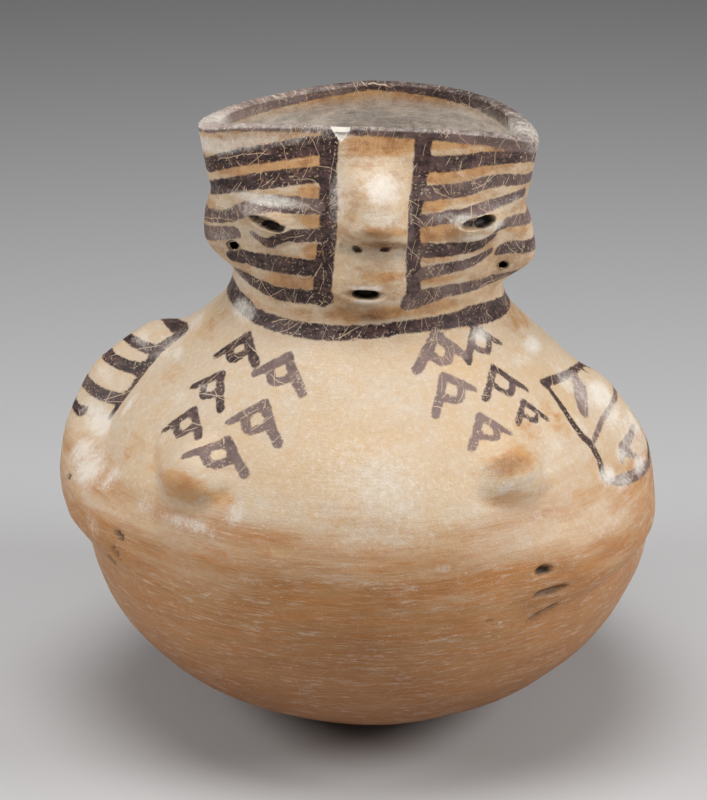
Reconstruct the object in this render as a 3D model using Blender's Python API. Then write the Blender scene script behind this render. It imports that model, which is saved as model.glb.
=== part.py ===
# A face-neck effigy jar: a squat coil-built vessel whose neck is a human head and whose
# shoulders carry two arms, two breasts and two hands. It is one piece of fired clay, hollow
# and open at the top.
#
# Sizes are in millimetres and become metres when the mesh is made. The origin is the middle
# of the flat spot under the jar, Z is up and the face looks along -Y. A place on the wall is
# given by its turn round the axis, in degrees from the front towards +X, and by its height.

import bmesh
import bpy
import numpy as np

MM = 0.001

# Outer profile of the jar, as radius and height, from the middle of the underside to the rim.
FOOT_RADIUS = 24.0
BELLY_RADIUS, BELLY_HEIGHT = 90.0, 67.0
NECK_RADIUS, NECK_HEIGHT = 42.4, 140.2
RIM_RADIUS, RIM_HEIGHT = 51.6, 192.0
PROFILE = [
    (0.0, 0.0),
    (FOOT_RADIUS / 2, 0.0),
    (FOOT_RADIUS, 0.0),
    (33.0, 2.7),
    (42.0, 6.9),
    (50.6, 11.2),
    (58.8, 15.9),
    (65.8, 21.0),
    (76.6, 31.5),
    (84.2, 43.5),
    (88.7, 55.5),
    (BELLY_RADIUS, BELLY_HEIGHT),
    (88.2, 80.0),
    (82.5, 93.0),
    (73.5, 105.5),
    (62.5, 116.5),
    (52.5, 126.0),
    (45.5, 133.2),
    (NECK_RADIUS, NECK_HEIGHT),
    (42.3, 148.0),
    (44.3, 157.0),
    (46.8, 166.0),
    (48.8, 175.0),
    (50.3, 184.0),
    (RIM_RADIUS, RIM_HEIGHT),
]
CURVE_STEPS = 16

# Above the neck the round section turns into that of the head: a nearly flat face and a
# long, arched back. The rim's front and back are given along Y.
HEAD_START, HEAD_END = 128.0, 196.0
RIM_FRONT, RIM_BACK, RIM_MIDDLE = -27.0, 46.0, -10.0
FACE_SQUARENESS, BACK_SQUARENESS_LEFT, BACK_SQUARENESS_RIGHT = 3.2, 1.66, 2.1

# The whole jar sags a little to its left hand: the drop in height for each millimetre of X.
SAG = 0.036
SAG_FROM, SAG_FULL = 40.0, 80.0

# The rim is uneven: turn, drop and half width in degrees of each low place. A drop below
# nought is a rise.
RIM_DIPS = [
    (-138.0, 2.2, 55.0),
    (0.0, -2.8, 75.0),
    (-90.0, 1.4, 60.0),
    (90.0, 2.0, 60.0),
    (180.0, 0.8, 100.0),
]
RIM_DIP_FROM = 160.0

# Wall thickness: belly, neck and lip, and the heights between which it thins to the neck's.
WALL_BELLY, WALL_NECK, WALL_LIP = 7.0, 6.0, 5.6
WALL_THINS_FROM, WALL_THINS_TO = 100.0, 140.0
LIP_ROWS, LIP_ROUNDING = 3, 0.32

# The lip is thicker at the two ends of the rim, where the face meets the back of the head.
CORNER_THICKER, CORNER_FROM, CORNER_SHARPNESS = 2.6, 160.0, 8

# Every swelling falls off from its middle as (1 - share ** flatness) ** softness. Where the
# softness differs above and below, it changes over this distance on either side of the middle.
SOFTNESS_BLEND = 5.0

# Arms: turn, height, half width above and below the ridge, and how far the arm stands out,
# from the shoulder round the elbow to the hand.
RIGHT_HAND_ARM = [
    (-99, 119.0, 11, 11, 1.5),
    (-98, 112.0, 16, 16, 8.5),
    (-97, 99.0, 19, 19, 11.5),
    (-94, 85.0, 20, 19, 10.3),
    (-88, 76.0, 22, 15, 8.8),
    (-76, 71.0, 22, 11, 6.8),
    (-64, 69.5, 20, 10, 4.2),
    (-52, 69.0, 16, 9, 1.2),
]
LEFT_HAND_ARM = [
    (88, 118.0, 12, 12, 1.2),
    (88, 106.0, 17, 16, 4.6),
    (87, 92.0, 19, 18, 4.6),
    (83, 79.0, 22, 15, 2.8),
    (72, 75.0, 24, 11, 4.0),
    (57, 73.0, 24, 10, 4.4),
    (46, 71.0, 22, 10, 3.4),
    (35, 69.0, 16, 9, 1.2),
]
ARM_FLATNESS, ARM_SOFTNESS, ARM_BLEND = 2.4, 2.0, 0.8

# Breasts: turn, height, half width, half height above and below, and relief.
BREASTS = [(-42.0, 96.5, 15.5, 17.0, 10.5, 6.2), (34.0, 102.0, 15.0, 16.0, 10.0, 5.8)]
BREAST_FLATNESS, BREAST_SOFTNESS_BELOW, BREAST_SOFTNESS_ABOVE = 2.2, 1.5, 2.1

# Nose: a broad ridge from the forehead down to its tip, widening between two heights.
NOSE_X, NOSE_TOP, NOSE_FULL, NOSE_TIP, NOSE_END = 1.2, 190.0, 173.0, 167.2, 159.2
NOSE_HALF_WIDTH_TOP, NOSE_HALF_WIDTH_TIP, NOSE_RELIEF = 10.6, 12.4, 8.8
NOSE_WIDENS_FROM, NOSE_WIDENS_TO = 186.0, 166.0
NOSE_FLATNESS, NOSE_SOFTNESS = 2.3, 1.5

# Muzzle: the soft swelling of mouth and chin.
MUZZLE_X, MUZZLE_HEIGHT, MUZZLE_HALF_WIDTH = 0.4, 149.0, 14.5
MUZZLE_ABOVE, MUZZLE_BELOW, MUZZLE_RELIEF = 16.0, 8.8, 3.6
MUZZLE_FLATNESS, MUZZLE_SOFTNESS_BELOW, MUZZLE_SOFTNESS_ABOVE = 2.2, 0.9, 1.5

# Eyelids: turn, height, half width, half height, relief and tilt.
EYELIDS = [(-33.0, 167.0, 10.6, 6.8, 2.4, -8.0), (35.5, 168.2, 11.0, 6.8, 2.2, 5.0)]
EYELID_FLATNESS, EYELID_SOFTNESS = 2.0, 1.3

# Ears: turn, height, half thickness, half height above and below, and how far they stand out.
EARS = [(-80.0, 158.0, 13.0, 13.5, 12.0, 6.4), (80.0, 156.0, 13.0, 14.5, 11.5, 8.0)]
EAR_FLATNESS, EAR_SOFTNESS = 2.2, 1.3
EAR_POINTEDNESS, EAR_TAPER = 1.6, 1.1

# Cuts made in the soft clay with a point: turn, height, half width, half height, depth, tilt.
EYE_CUTS = [(-32.6, 167.2, 6.0, 1.2, 3.4, -8.0), (36.0, 169.2, 6.4, 1.3, 3.4, 6.0)]
MOUTH_CUTS = [(-0.7, 149.2, 4.8, 1.2, 4.4, 0.0)]
NOSTRIL_CUTS = [(-2.2, 162.4, 1.6, 0.7, 2.2, -25.0), (3.0, 162.6, 1.6, 0.7, 2.2, 8.0)]
FINGER_CUTS = [
    (-55.5, 73.0, 2.6, 0.9, 1.8, -35.0),
    (-56.5, 67.6, 2.8, 0.9, 1.8, -35.0),
    (-59.0, 63.8, 2.4, 0.8, 1.8, -40.0),
    (35.0, 76.0, 2.8, 1.3, 2.4, 0.0),
    (36.3, 69.2, 7.2, 1.1, 2.2, 4.0),
    (35.0, 61.7, 6.4, 1.1, 2.2, 22.0),
]
CUT_SEGMENTS, CUT_RINGS = 10, 6

# Ear holes: where the bore enters in front and comes out behind.
EAR_HOLES = [
    ((-40.0, -26.0, 157.0), (-49.5, 8.0, 157.4)),
    ((39.8, -26.0, 153.6), (50.0, 8.0, 154.2)),
]
EAR_HOLE_RADIUS, EAR_HOLE_SIDES = 1.25, 8

# Mesh: columns round the jar, closer together at the front, and rows in each stretch of height.
COLUMNS = 80
FRONT_CROWDING = 0.4
ROW_STRETCHES = [(25.0, 60.0, 5), (60.0, 114.0, 12), (114.0, 140.0, 5), (140.0, RIM_HEIGHT, 18)]
UNDERSIDE_RADII = [FOOT_RADIUS / 2, FOOT_RADIUS]
UNDERSIDE_HEIGHTS = [2.2, 5.5, 10.0, 16.5]
INNER_ROWS = 14
TURN_STEP, LENGTH_STEP = 0.002, 0.2

CLAY = (0.60, 0.40, 0.22, 1.0)
CLAY_ROUGHNESS = 0.62


def ramp(start, end, value):
    """0 at start, 1 at end, with soft ends."""
    t = np.clip((value - start) / (end - start), 0, 1)
    return t * t * (3 - 2 * t)


def swelling(share, flatness, softness):
    """The height of a rounded swelling, 1 in its middle and 0 from its edge outwards."""
    return (1 - np.clip(share, 0, 1) ** flatness) ** softness


def softness_at(up, below, above):
    """A softness that changes from the one below the middle to the one above it."""
    return below + (above - below) * ramp(-SOFTNESS_BLEND, SOFTNESS_BLEND, up)


def smooth_curve(points):
    """A dense curve through the points of the profile."""
    p = np.asarray(points, float)
    p = np.vstack([2 * p[0] - p[1], p, 2 * p[-1] - p[-2]])
    t = np.linspace(0, 1, CURVE_STEPS, endpoint=False)[:, None]
    pieces = []
    for a, b, c, d in zip(p, p[1:], p[2:], p[3:]):
        pieces.append(
            b + 0.5 * t * (c - a + t * (2 * a - 5 * b + 4 * c - d + t * (3 * (b - c) + d - a)))
        )
    return np.vstack(pieces + [p[-2:-1]])


CURVE = smooth_curve(PROFILE)
CURVE[:, 1] = np.maximum(CURVE[:, 1], 0)
LENGTHS = np.r_[0, np.cumsum(np.linalg.norm(np.diff(CURVE, axis=0), axis=1))]


def along(height):
    """Where on the profile's length a height is reached, above the underside."""
    return np.interp(height, CURVE[:, 1], LENGTHS)


def rim_dip(turn, height):
    """How much lower the uneven rim runs at a turn, fading out down the head."""
    dip = np.zeros(np.shape(turn))
    for place, drop, half_width in RIM_DIPS:
        away = np.abs((np.degrees(turn) - place + 180) % 360 - 180)
        dip = dip + drop * ramp(half_width, 0, away)
    return dip * ramp(RIM_DIP_FROM, RIM_HEIGHT, height)


def wall(turn, length):
    """The plain wall, before any modelling, at a turn in radians and a length of profile."""
    radius = np.interp(length, LENGTHS, CURVE[:, 0])
    height = np.interp(length, LENGTHS, CURVE[:, 1])
    radius, height, turn = np.broadcast_arrays(radius, height, turn)
    headness = ramp(HEAD_START, HEAD_END, height)
    middle = RIM_MIDDLE * headness
    front_depth = radius * (1 - headness) + (middle - RIM_FRONT) * headness
    back_depth = radius * (1 - headness) + (RIM_BACK - middle) * headness
    across, ahead = np.sin(turn), np.cos(turn)
    is_front = ahead > 0
    back_squareness = np.where(across < 0, BACK_SQUARENESS_LEFT, BACK_SQUARENESS_RIGHT)
    power = 2 + (np.where(is_front, FACE_SQUARENESS, back_squareness) - 2) * headness
    depth = np.where(is_front, front_depth, back_depth)
    x = radius * np.sign(across) * np.abs(across) ** (2 / power)
    y = middle - depth * np.sign(ahead) * np.abs(ahead) ** (2 / power)
    return np.stack([x, y, height - rim_dip(turn, height)], -1)


def wall_normal(turn, length):
    """The outward direction of the plain wall."""
    round_it = wall(turn + TURN_STEP, length) - wall(turn - TURN_STEP, length)
    below = np.maximum(length - LENGTH_STEP, 0)
    up_it = wall(turn, length + LENGTH_STEP) - wall(turn, below)
    normal = np.cross(round_it, up_it)
    size = np.linalg.norm(normal, axis=-1, keepdims=True)
    return np.where(size > 1e-9, normal / np.maximum(size, 1e-9), [0.0, 0.0, -1.0])


def spot(turn_degrees, height):
    """A point of the plain wall, with its sideways, upward and outward directions."""
    turn, length = np.radians(turn_degrees), along(height)
    side = np.array([np.cos(turn), np.sin(turn), 0.0])
    normal = wall_normal(turn, length)
    side = side - normal * (side @ normal)
    side /= np.linalg.norm(side)
    return wall(turn, length), side, np.cross(normal, side), normal


def offsets(points, turn_degrees, height):
    """How far each point lies to the side of a spot on the wall, and above it."""
    centre = spot(turn_degrees, height)[0]
    turn = np.radians(turn_degrees)
    off = points - centre
    side = off @ np.array([np.cos(turn), np.sin(turn), 0.0])
    rest = np.sqrt(np.maximum((off**2).sum(-1) - side**2, 0))
    return side, rest * np.sign(off[..., 2]), off


def arm(points, route):
    """A long swelling whose ridge follows the route, with a sharper edge below than above."""
    relief = np.zeros(points.shape[:-1])
    ridge = [spot(turn, height)[0] for turn, height, *_ in route]
    for start, end, first, last in zip(ridge, ridge[1:], route, route[1:]):
        way = end - start
        part = np.clip(((points - start) @ way) / (way @ way), 0, 1)
        above, below, height = (first[i] + (last[i] - first[i]) * part for i in (2, 3, 4))
        off = points - (start + part[..., None] * way)
        distance = np.linalg.norm(off, axis=-1)
        upness = ramp(-ARM_BLEND, ARM_BLEND, off[..., 2] / np.maximum(distance, 1e-6))
        share = distance / (below + (above - below) * upness)
        relief = np.maximum(relief, height * swelling(share, ARM_FLATNESS, ARM_SOFTNESS))
    return relief


def breast(points, turn, height, half_width, above, below, relief):
    """A soft cone that runs out gently above and ends more sharply below."""
    side, up, _ = offsets(points, turn, height)
    reach = np.where(up > 0, above, below)
    share = np.hypot(side / half_width, up / reach)
    softness = softness_at(up, BREAST_SOFTNESS_BELOW, BREAST_SOFTNESS_ABOVE)
    return relief * swelling(share, BREAST_FLATNESS, softness)


def nose(points):
    height = points[..., 2]
    widening = ramp(NOSE_WIDENS_FROM, NOSE_WIDENS_TO, height)
    half_width = NOSE_HALF_WIDTH_TOP + (NOSE_HALF_WIDTH_TIP - NOSE_HALF_WIDTH_TOP) * widening
    relief = NOSE_RELIEF * ramp(NOSE_TOP, NOSE_FULL, height) * ramp(NOSE_END, NOSE_TIP, height)
    share = np.abs(points[..., 0] - NOSE_X) / half_width
    return (points[..., 1] < 0) * relief * swelling(share, NOSE_FLATNESS, NOSE_SOFTNESS)


def muzzle(points):
    up = points[..., 2] - MUZZLE_HEIGHT
    reach = np.where(up > 0, MUZZLE_ABOVE, MUZZLE_BELOW)
    share = np.hypot((points[..., 0] - MUZZLE_X) / MUZZLE_HALF_WIDTH, up / reach)
    softness = softness_at(up, MUZZLE_SOFTNESS_BELOW, MUZZLE_SOFTNESS_ABOVE)
    return (points[..., 1] < 0) * MUZZLE_RELIEF * swelling(share, MUZZLE_FLATNESS, softness)


def eyelid(points, turn, height, half_width, half_height, relief, tilt):
    side, up, off = offsets(points, turn, height)
    lean = np.radians(tilt)
    along_slit = side * np.cos(lean) + up * np.sin(lean)
    across_slit = up * np.cos(lean) - side * np.sin(lean)
    share = np.hypot(along_slit / half_width, across_slit / half_height)
    near = np.linalg.norm(off, axis=-1) < 2 * half_width
    return near * relief * swelling(share, EYELID_FLATNESS, EYELID_SOFTNESS)


def ear(points, turn, height, half_thickness, above, below, relief):
    side, _, off = offsets(points, turn, height)
    up = off[..., 2]
    through = swelling(np.abs(side) / half_thickness, EAR_FLATNESS, EAR_SOFTNESS)
    tall = swelling(np.where(up > 0, up / above, -up / below), EAR_POINTEDNESS, EAR_TAPER)
    on_side = points[..., 0] * np.sign(turn) > 0
    return on_side * relief * through * tall


def modelling(points):
    """How far the clay stands out from the plain wall."""
    relief = arm(points, RIGHT_HAND_ARM) + arm(points, LEFT_HAND_ARM)
    relief += np.maximum(nose(points), muzzle(points))
    for shape, places in ((breast, BREASTS), (eyelid, EYELIDS), (ear, EARS)):
        for place in places:
            relief += shape(points, *place)
    return relief


def sagged(points):
    drop = SAG * ramp(SAG_FROM, SAG_FULL, points[..., 2]) * points[..., 0]
    return np.concatenate([points[..., :2], points[..., 2:] - drop[..., None]], -1)


def turns(count):
    even = np.linspace(-np.pi, np.pi, count, endpoint=False)
    return even - FRONT_CROWDING * np.sin(even)


def outer_ring(length, count):
    turn = turns(count)
    points = wall(turn, length)
    points = sagged(points + wall_normal(turn, length) * modelling(points)[:, None])
    points[:, 2] = np.maximum(points[:, 2], 0)
    return points


def thickness(turn, height):
    thinned = (WALL_NECK - WALL_BELLY) * ramp(WALL_THINS_FROM, WALL_THINS_TO, height)
    lip = (WALL_LIP - WALL_NECK) * ramp(WALL_THINS_TO, RIM_HEIGHT, height)
    corner = np.abs(np.sin(turn)) ** CORNER_SHARPNESS * ramp(CORNER_FROM, RIM_HEIGHT, height)
    return WALL_BELLY + thinned + lip + CORNER_THICKER * corner


def inner_ring(length, count):
    turn = turns(count)
    points = wall(turn, length)
    inward = wall_normal(turn, length) * thickness(turn, points[:, 2])[:, None]
    return sagged(points - inward)


def lip_rings(count):
    """Half a round from the outer edge of the rim over to the inner one."""
    outer, inner = outer_ring(LENGTHS[-1], count), inner_ring(LENGTHS[-1], count)
    middle, half = (outer + inner) / 2, (outer - inner) / 2
    rise = np.array([0.0, 0.0, WALL_LIP * LIP_ROUNDING])
    rings = []
    for angle in np.linspace(0, np.pi, LIP_ROWS + 2)[1:-1]:
        rings.append(middle + half * np.cos(angle) + rise * np.sin(angle))
    return rings


def jar_rings():
    """Every ring of the surface, up the outside, over the lip and down the inside."""
    few = COLUMNS // 2
    rings = [outer_ring(radius, few) for radius in UNDERSIDE_RADII]
    rings += [outer_ring(along(height), few) for height in UNDERSIDE_HEIGHTS]
    for low, high, rows in ROW_STRETCHES:
        lengths = np.linspace(along(low), along(high), rows, endpoint=False)
        rings += [outer_ring(length, COLUMNS) for length in lengths]
    rings.append(outer_ring(LENGTHS[-1], COLUMNS))
    rings += lip_rings(COLUMNS)
    for length in np.linspace(LENGTHS[-1], 0, INNER_ROWS + 1)[:-1]:
        rings.append(inner_ring(length, few))
    return rings


def join_rings(mesh, low, high):
    """Faces between two rings, where one may have twice as many points as the other."""
    if len(low) == len(high):
        for i in range(len(low)):
            j = (i + 1) % len(low)
            mesh.faces.new((low[i], low[j], high[j], high[i]))
        return
    coarse, fine = (low, high) if len(low) < len(high) else (high, low)
    for i in range(len(coarse)):
        a, b = coarse[i], coarse[(i + 1) % len(coarse)]
        c, d, e = (fine[(2 * i + k) % len(fine)] for k in range(3))
        for face in ((a, d, c), (a, b, d), (b, e, d)):
            mesh.faces.new(face if coarse is low else face[::-1])


def close_with(mesh, ring, centre, upward):
    for i in range(len(ring)):
        a, b = ring[i], ring[(i + 1) % len(ring)]
        mesh.faces.new((a, b, centre) if upward else (b, a, centre))


def make_object(name, mesh_data, material=None):
    made = bpy.data.objects.new(name, mesh_data)
    bpy.context.scene.collection.objects.link(made)
    if material:
        mesh_data.materials.append(material)
    return made


def jar_object(material):
    mesh = bmesh.new()
    rings = [[mesh.verts.new(point * MM) for point in ring] for ring in jar_rings()]
    for low, high in zip(rings, rings[1:]):
        join_rings(mesh, low, high)
    close_with(mesh, rings[0], mesh.verts.new((0, 0, 0)), upward=False)
    close_with(mesh, rings[-1], mesh.verts.new((0, 0, WALL_BELLY * MM)), upward=True)
    bmesh.ops.recalc_face_normals(mesh, faces=mesh.faces)
    data = bpy.data.meshes.new("effigy_jar")
    mesh.to_mesh(data)
    mesh.free()
    data.shade_smooth()
    return make_object("effigy_jar", data, material)


def cut_away(jar, cutter):
    cutter.hide_render = True
    cutter.display_type = "WIRE"
    boolean = jar.modifiers.new(cutter.name, "BOOLEAN")
    boolean.operation = "DIFFERENCE"
    boolean.solver = "EXACT"
    boolean.object = cutter


def slit_cutter(name, turn, height, half_width, half_height, depth, tilt):
    """A flat pointed grain of the slit's size, set half into the surface of the modelled clay."""
    centre, side, up, normal = spot(turn, height)
    surface = sagged(centre + normal * modelling(centre[None])[0])
    lean = np.radians(tilt)
    axes = np.array(
        [
            (side * np.cos(lean) + up * np.sin(lean)) * half_width,
            (up * np.cos(lean) - side * np.sin(lean)) * half_height,
            normal * depth,
        ]
    )
    mesh = bmesh.new()
    bmesh.ops.create_uvsphere(mesh, u_segments=CUT_SEGMENTS, v_segments=CUT_RINGS, radius=1.0)
    for vertex in mesh.verts:
        vertex.co = (surface + np.array(vertex.co) @ axes) * MM
    data = bpy.data.meshes.new(name)
    mesh.to_mesh(data)
    mesh.free()
    return make_object(name, data)


def bore_cutter(name, entry, outlet):
    """A rod from one side of the ear to the other."""
    start, end = sagged(np.array(entry)), sagged(np.array(outlet))
    way = (end - start) / np.linalg.norm(end - start)
    side = np.cross(way, [0.0, 0.0, 1.0])
    side /= np.linalg.norm(side)
    up = np.cross(side, way)
    mesh = bmesh.new()
    rings = []
    for centre in (start, end):
        angles = np.linspace(0, 2 * np.pi, EAR_HOLE_SIDES, endpoint=False)
        spokes = [side * np.cos(angle) + up * np.sin(angle) for angle in angles]
        points = [centre + spoke * EAR_HOLE_RADIUS for spoke in spokes]
        rings.append([mesh.verts.new(point * MM) for point in points])
    join_rings(mesh, *rings)
    for ring in rings:
        mesh.faces.new(ring)
    bmesh.ops.recalc_face_normals(mesh, faces=mesh.faces)
    data = bpy.data.meshes.new(name)
    mesh.to_mesh(data)
    mesh.free()
    return make_object(name, data)


def clay_material():
    material = bpy.data.materials.new("cream_slipped_clay")
    material.use_nodes = True
    shader = material.node_tree.nodes["Principled BSDF"]
    shader.inputs["Base Color"].default_value = CLAY
    shader.inputs["Roughness"].default_value = CLAY_ROUGHNESS
    return material


def main():
    for old in list(bpy.data.objects):
        bpy.data.objects.remove(old)
    jar = jar_object(clay_material())
    groups = {"eye": EYE_CUTS, "mouth": MOUTH_CUTS, "nostril": NOSTRIL_CUTS, "finger": FINGER_CUTS}
    for group, cuts in groups.items():
        for number, cut in enumerate(cuts, 1):
            cut_away(jar, slit_cutter(f"{group}_cut_{number}", *cut))
    for number, hole in enumerate(EAR_HOLES, 1):
        cut_away(jar, bore_cutter(f"ear_hole_{number}", *hole))


main()
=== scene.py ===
# A face-neck effigy jar of hand-built clay: burnished cream slip, purple-brown painted stripes and
# small hooked figures, worn and a little chalky. Sizes are in millimetres until a mesh is made.
# A place on the wall is its turn round the jar, in degrees from the front towards +X, and its
# height up the plain profile. The face looks along -Y.
import math

import bpy
import numpy as np
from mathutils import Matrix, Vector
from mathutils.bvhtree import BVHTree
from mathutils.kdtree import KDTree


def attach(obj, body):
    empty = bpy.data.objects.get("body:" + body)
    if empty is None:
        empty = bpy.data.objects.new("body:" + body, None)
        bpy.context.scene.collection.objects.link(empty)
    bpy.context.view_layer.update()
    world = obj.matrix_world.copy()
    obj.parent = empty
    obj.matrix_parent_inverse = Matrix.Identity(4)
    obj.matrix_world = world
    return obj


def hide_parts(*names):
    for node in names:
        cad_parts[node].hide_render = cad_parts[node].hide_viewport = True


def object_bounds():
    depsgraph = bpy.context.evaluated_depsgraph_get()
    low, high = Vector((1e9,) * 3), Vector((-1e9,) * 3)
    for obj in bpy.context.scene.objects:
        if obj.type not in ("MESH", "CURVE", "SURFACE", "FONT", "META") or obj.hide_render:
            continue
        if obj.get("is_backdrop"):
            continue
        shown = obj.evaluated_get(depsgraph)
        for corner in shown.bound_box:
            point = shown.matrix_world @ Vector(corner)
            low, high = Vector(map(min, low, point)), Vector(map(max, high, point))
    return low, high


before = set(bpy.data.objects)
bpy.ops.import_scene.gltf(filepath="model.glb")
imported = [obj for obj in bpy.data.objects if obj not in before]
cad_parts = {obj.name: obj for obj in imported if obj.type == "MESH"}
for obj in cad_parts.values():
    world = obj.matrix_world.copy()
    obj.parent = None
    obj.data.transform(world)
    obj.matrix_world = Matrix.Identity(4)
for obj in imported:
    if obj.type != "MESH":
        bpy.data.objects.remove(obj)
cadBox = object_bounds()
metresPerMm = 0.001
print("frame loaded")

# The form: the same driving sizes as the solid.
jarForm = {
    "profile": [  # radius and height, from the middle of the underside to the rim
        (0, 0), (12, 0), (24, 0), (33, 2.7), (42, 6.9), (50.6, 11.2), (58.8, 15.9), (65.8, 21),
        (76.6, 31.5), (84.2, 43.5), (88.7, 55.5), (90, 67), (88.2, 80), (82.5, 93), (73.5, 105.5),
        (62.5, 116.5), (52.5, 126), (45.5, 133.2), (42.4, 140.2), (42.3, 148), (44.3, 157),
        (46.8, 166), (48.8, 175), (50.3, 184), (51.6, 192),
    ],
    "curveSteps": 16,
    "headFrom": 128, "headTo": 196,
    "rimFront": -27, "rimBack": 46, "rimMiddle": -10,
    "faceSquareness": 3.2, "backSquarenessLeft": 1.66, "backSquarenessRight": 2.1,
    "sag": 0.036, "sagFrom": 40, "sagFull": 80,
    "rimHeight": 192, "rimDipFrom": 160,
    "rimDips": [  # turn, drop, half width
        (-138, 2.2, 55), (0, -2.8, 75), (-90, 1.4, 60), (90, 2.0, 60), (180, 0.8, 100),
    ],
    "wallBelly": 7, "wallNeck": 6, "wallLip": 5.6, "thinsFrom": 100, "thinsTo": 140,
    "lipRounding": 0.32, "cornerThicker": 2.6, "cornerFrom": 160, "cornerSharpness": 8,
}


def ramp(start, end, value):  # 0 at start, 1 at end, with soft ends
    t = np.clip((value - start) / (end - start), 0, 1)
    return t * t * (3 - 2 * t)


def swelling(share, flatness, softness):  # 1 in the middle, 0 from the edge outwards
    return (1 - np.clip(share, 0, 1) ** flatness) ** softness


def smoothCurve(points, steps):  # a dense curve through the points
    p = np.asarray(points, float)
    p = np.vstack([2 * p[0] - p[1], p, 2 * p[-1] - p[-2]])
    t = np.linspace(0, 1, steps, endpoint=False)[:, None]
    pieces = []
    for a, b, c, d in zip(p, p[1:], p[2:], p[3:]):
        bend = c - a + t * (2 * a - 5 * b + 4 * c - d + t * (3 * (b - c) + d - a))
        pieces.append(b + 0.5 * t * bend)
    return np.vstack(pieces + [p[-2:-1]])


profileCurve = smoothCurve(jarForm["profile"], jarForm["curveSteps"])
profileCurve[:, 1] = np.maximum(profileCurve[:, 1], 0)
profileLengths = np.r_[0, np.cumsum(np.linalg.norm(np.diff(profileCurve, axis=0), axis=1))]
rimLength = profileLengths[-1]


def along(height):  # where on the profile's length a height is reached
    return np.interp(height, profileCurve[:, 1], profileLengths)


def rimDip(turn, height):
    dip = np.zeros(np.shape(turn))
    for place, drop, halfWidth in jarForm["rimDips"]:
        away = np.abs((np.degrees(turn) - place + 180) % 360 - 180)
        dip = dip + drop * ramp(halfWidth, 0, away)
    return dip * ramp(jarForm["rimDipFrom"], jarForm["rimHeight"], height)


def wall(turn, length):  # the plain wall, turn in radians
    form = jarForm
    radius = np.interp(length, profileLengths, profileCurve[:, 0])
    height = np.interp(length, profileLengths, profileCurve[:, 1])
    radius, height, turn = np.broadcast_arrays(radius, height, turn)
    headness = ramp(form["headFrom"], form["headTo"], height)
    middle = form["rimMiddle"] * headness
    frontDepth = radius * (1 - headness) + (middle - form["rimFront"]) * headness
    backDepth = radius * (1 - headness) + (form["rimBack"] - middle) * headness
    across, ahead = np.sin(turn), np.cos(turn)
    backSquareness = np.where(across < 0, form["backSquarenessLeft"], form["backSquarenessRight"])
    squareness = np.where(ahead > 0, form["faceSquareness"], backSquareness)
    power = 2 + (squareness - 2) * headness
    x = radius * np.sign(across) * np.abs(across) ** (2 / power)
    depth = np.where(ahead > 0, frontDepth, backDepth)
    y = middle - depth * np.sign(ahead) * np.abs(ahead) ** (2 / power)
    return np.stack([x, y, height - rimDip(turn, height)], -1)


def wallNormal(turn, length, step=0.002, lengthStep=0.2):
    roundIt = wall(turn + step, length) - wall(turn - step, length)
    upIt = wall(turn, length + lengthStep) - wall(turn, np.maximum(length - lengthStep, 0))
    normal = np.cross(roundIt, upIt)
    size = np.linalg.norm(normal, axis=-1, keepdims=True)
    return np.where(size > 1e-9, normal / np.maximum(size, 1e-9), [0.0, 0.0, -1.0])


def spot(turnDegrees, height):  # a point of the wall, with its side, up and outward directions
    turn, length = np.radians(turnDegrees), along(height)
    side = np.array([np.cos(turn), np.sin(turn), 0.0])
    normal = wallNormal(turn, length)
    side = side - normal * (side @ normal)
    side /= np.linalg.norm(side)
    return wall(turn, length), side, np.cross(normal, side), normal


def sagged(points):
    drop = jarForm["sag"] * ramp(jarForm["sagFrom"], jarForm["sagFull"], points[..., 2])
    return np.concatenate([points[..., :2], points[..., 2:] - (drop * points[..., 0])[..., None]], -1)


def thickness(turn, height):
    form = jarForm
    corner = form["cornerThicker"] * ramp(form["cornerFrom"], form["rimHeight"], height)
    corner = corner * np.abs(np.sin(turn)) ** form["cornerSharpness"]
    thinned = (form["wallNeck"] - form["wallBelly"]) * ramp(form["thinsFrom"], form["thinsTo"], height)
    lip = (form["wallLip"] - form["wallNeck"]) * ramp(form["thinsTo"], form["rimHeight"], height)
    return form["wallBelly"] + thinned + lip + corner


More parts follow.
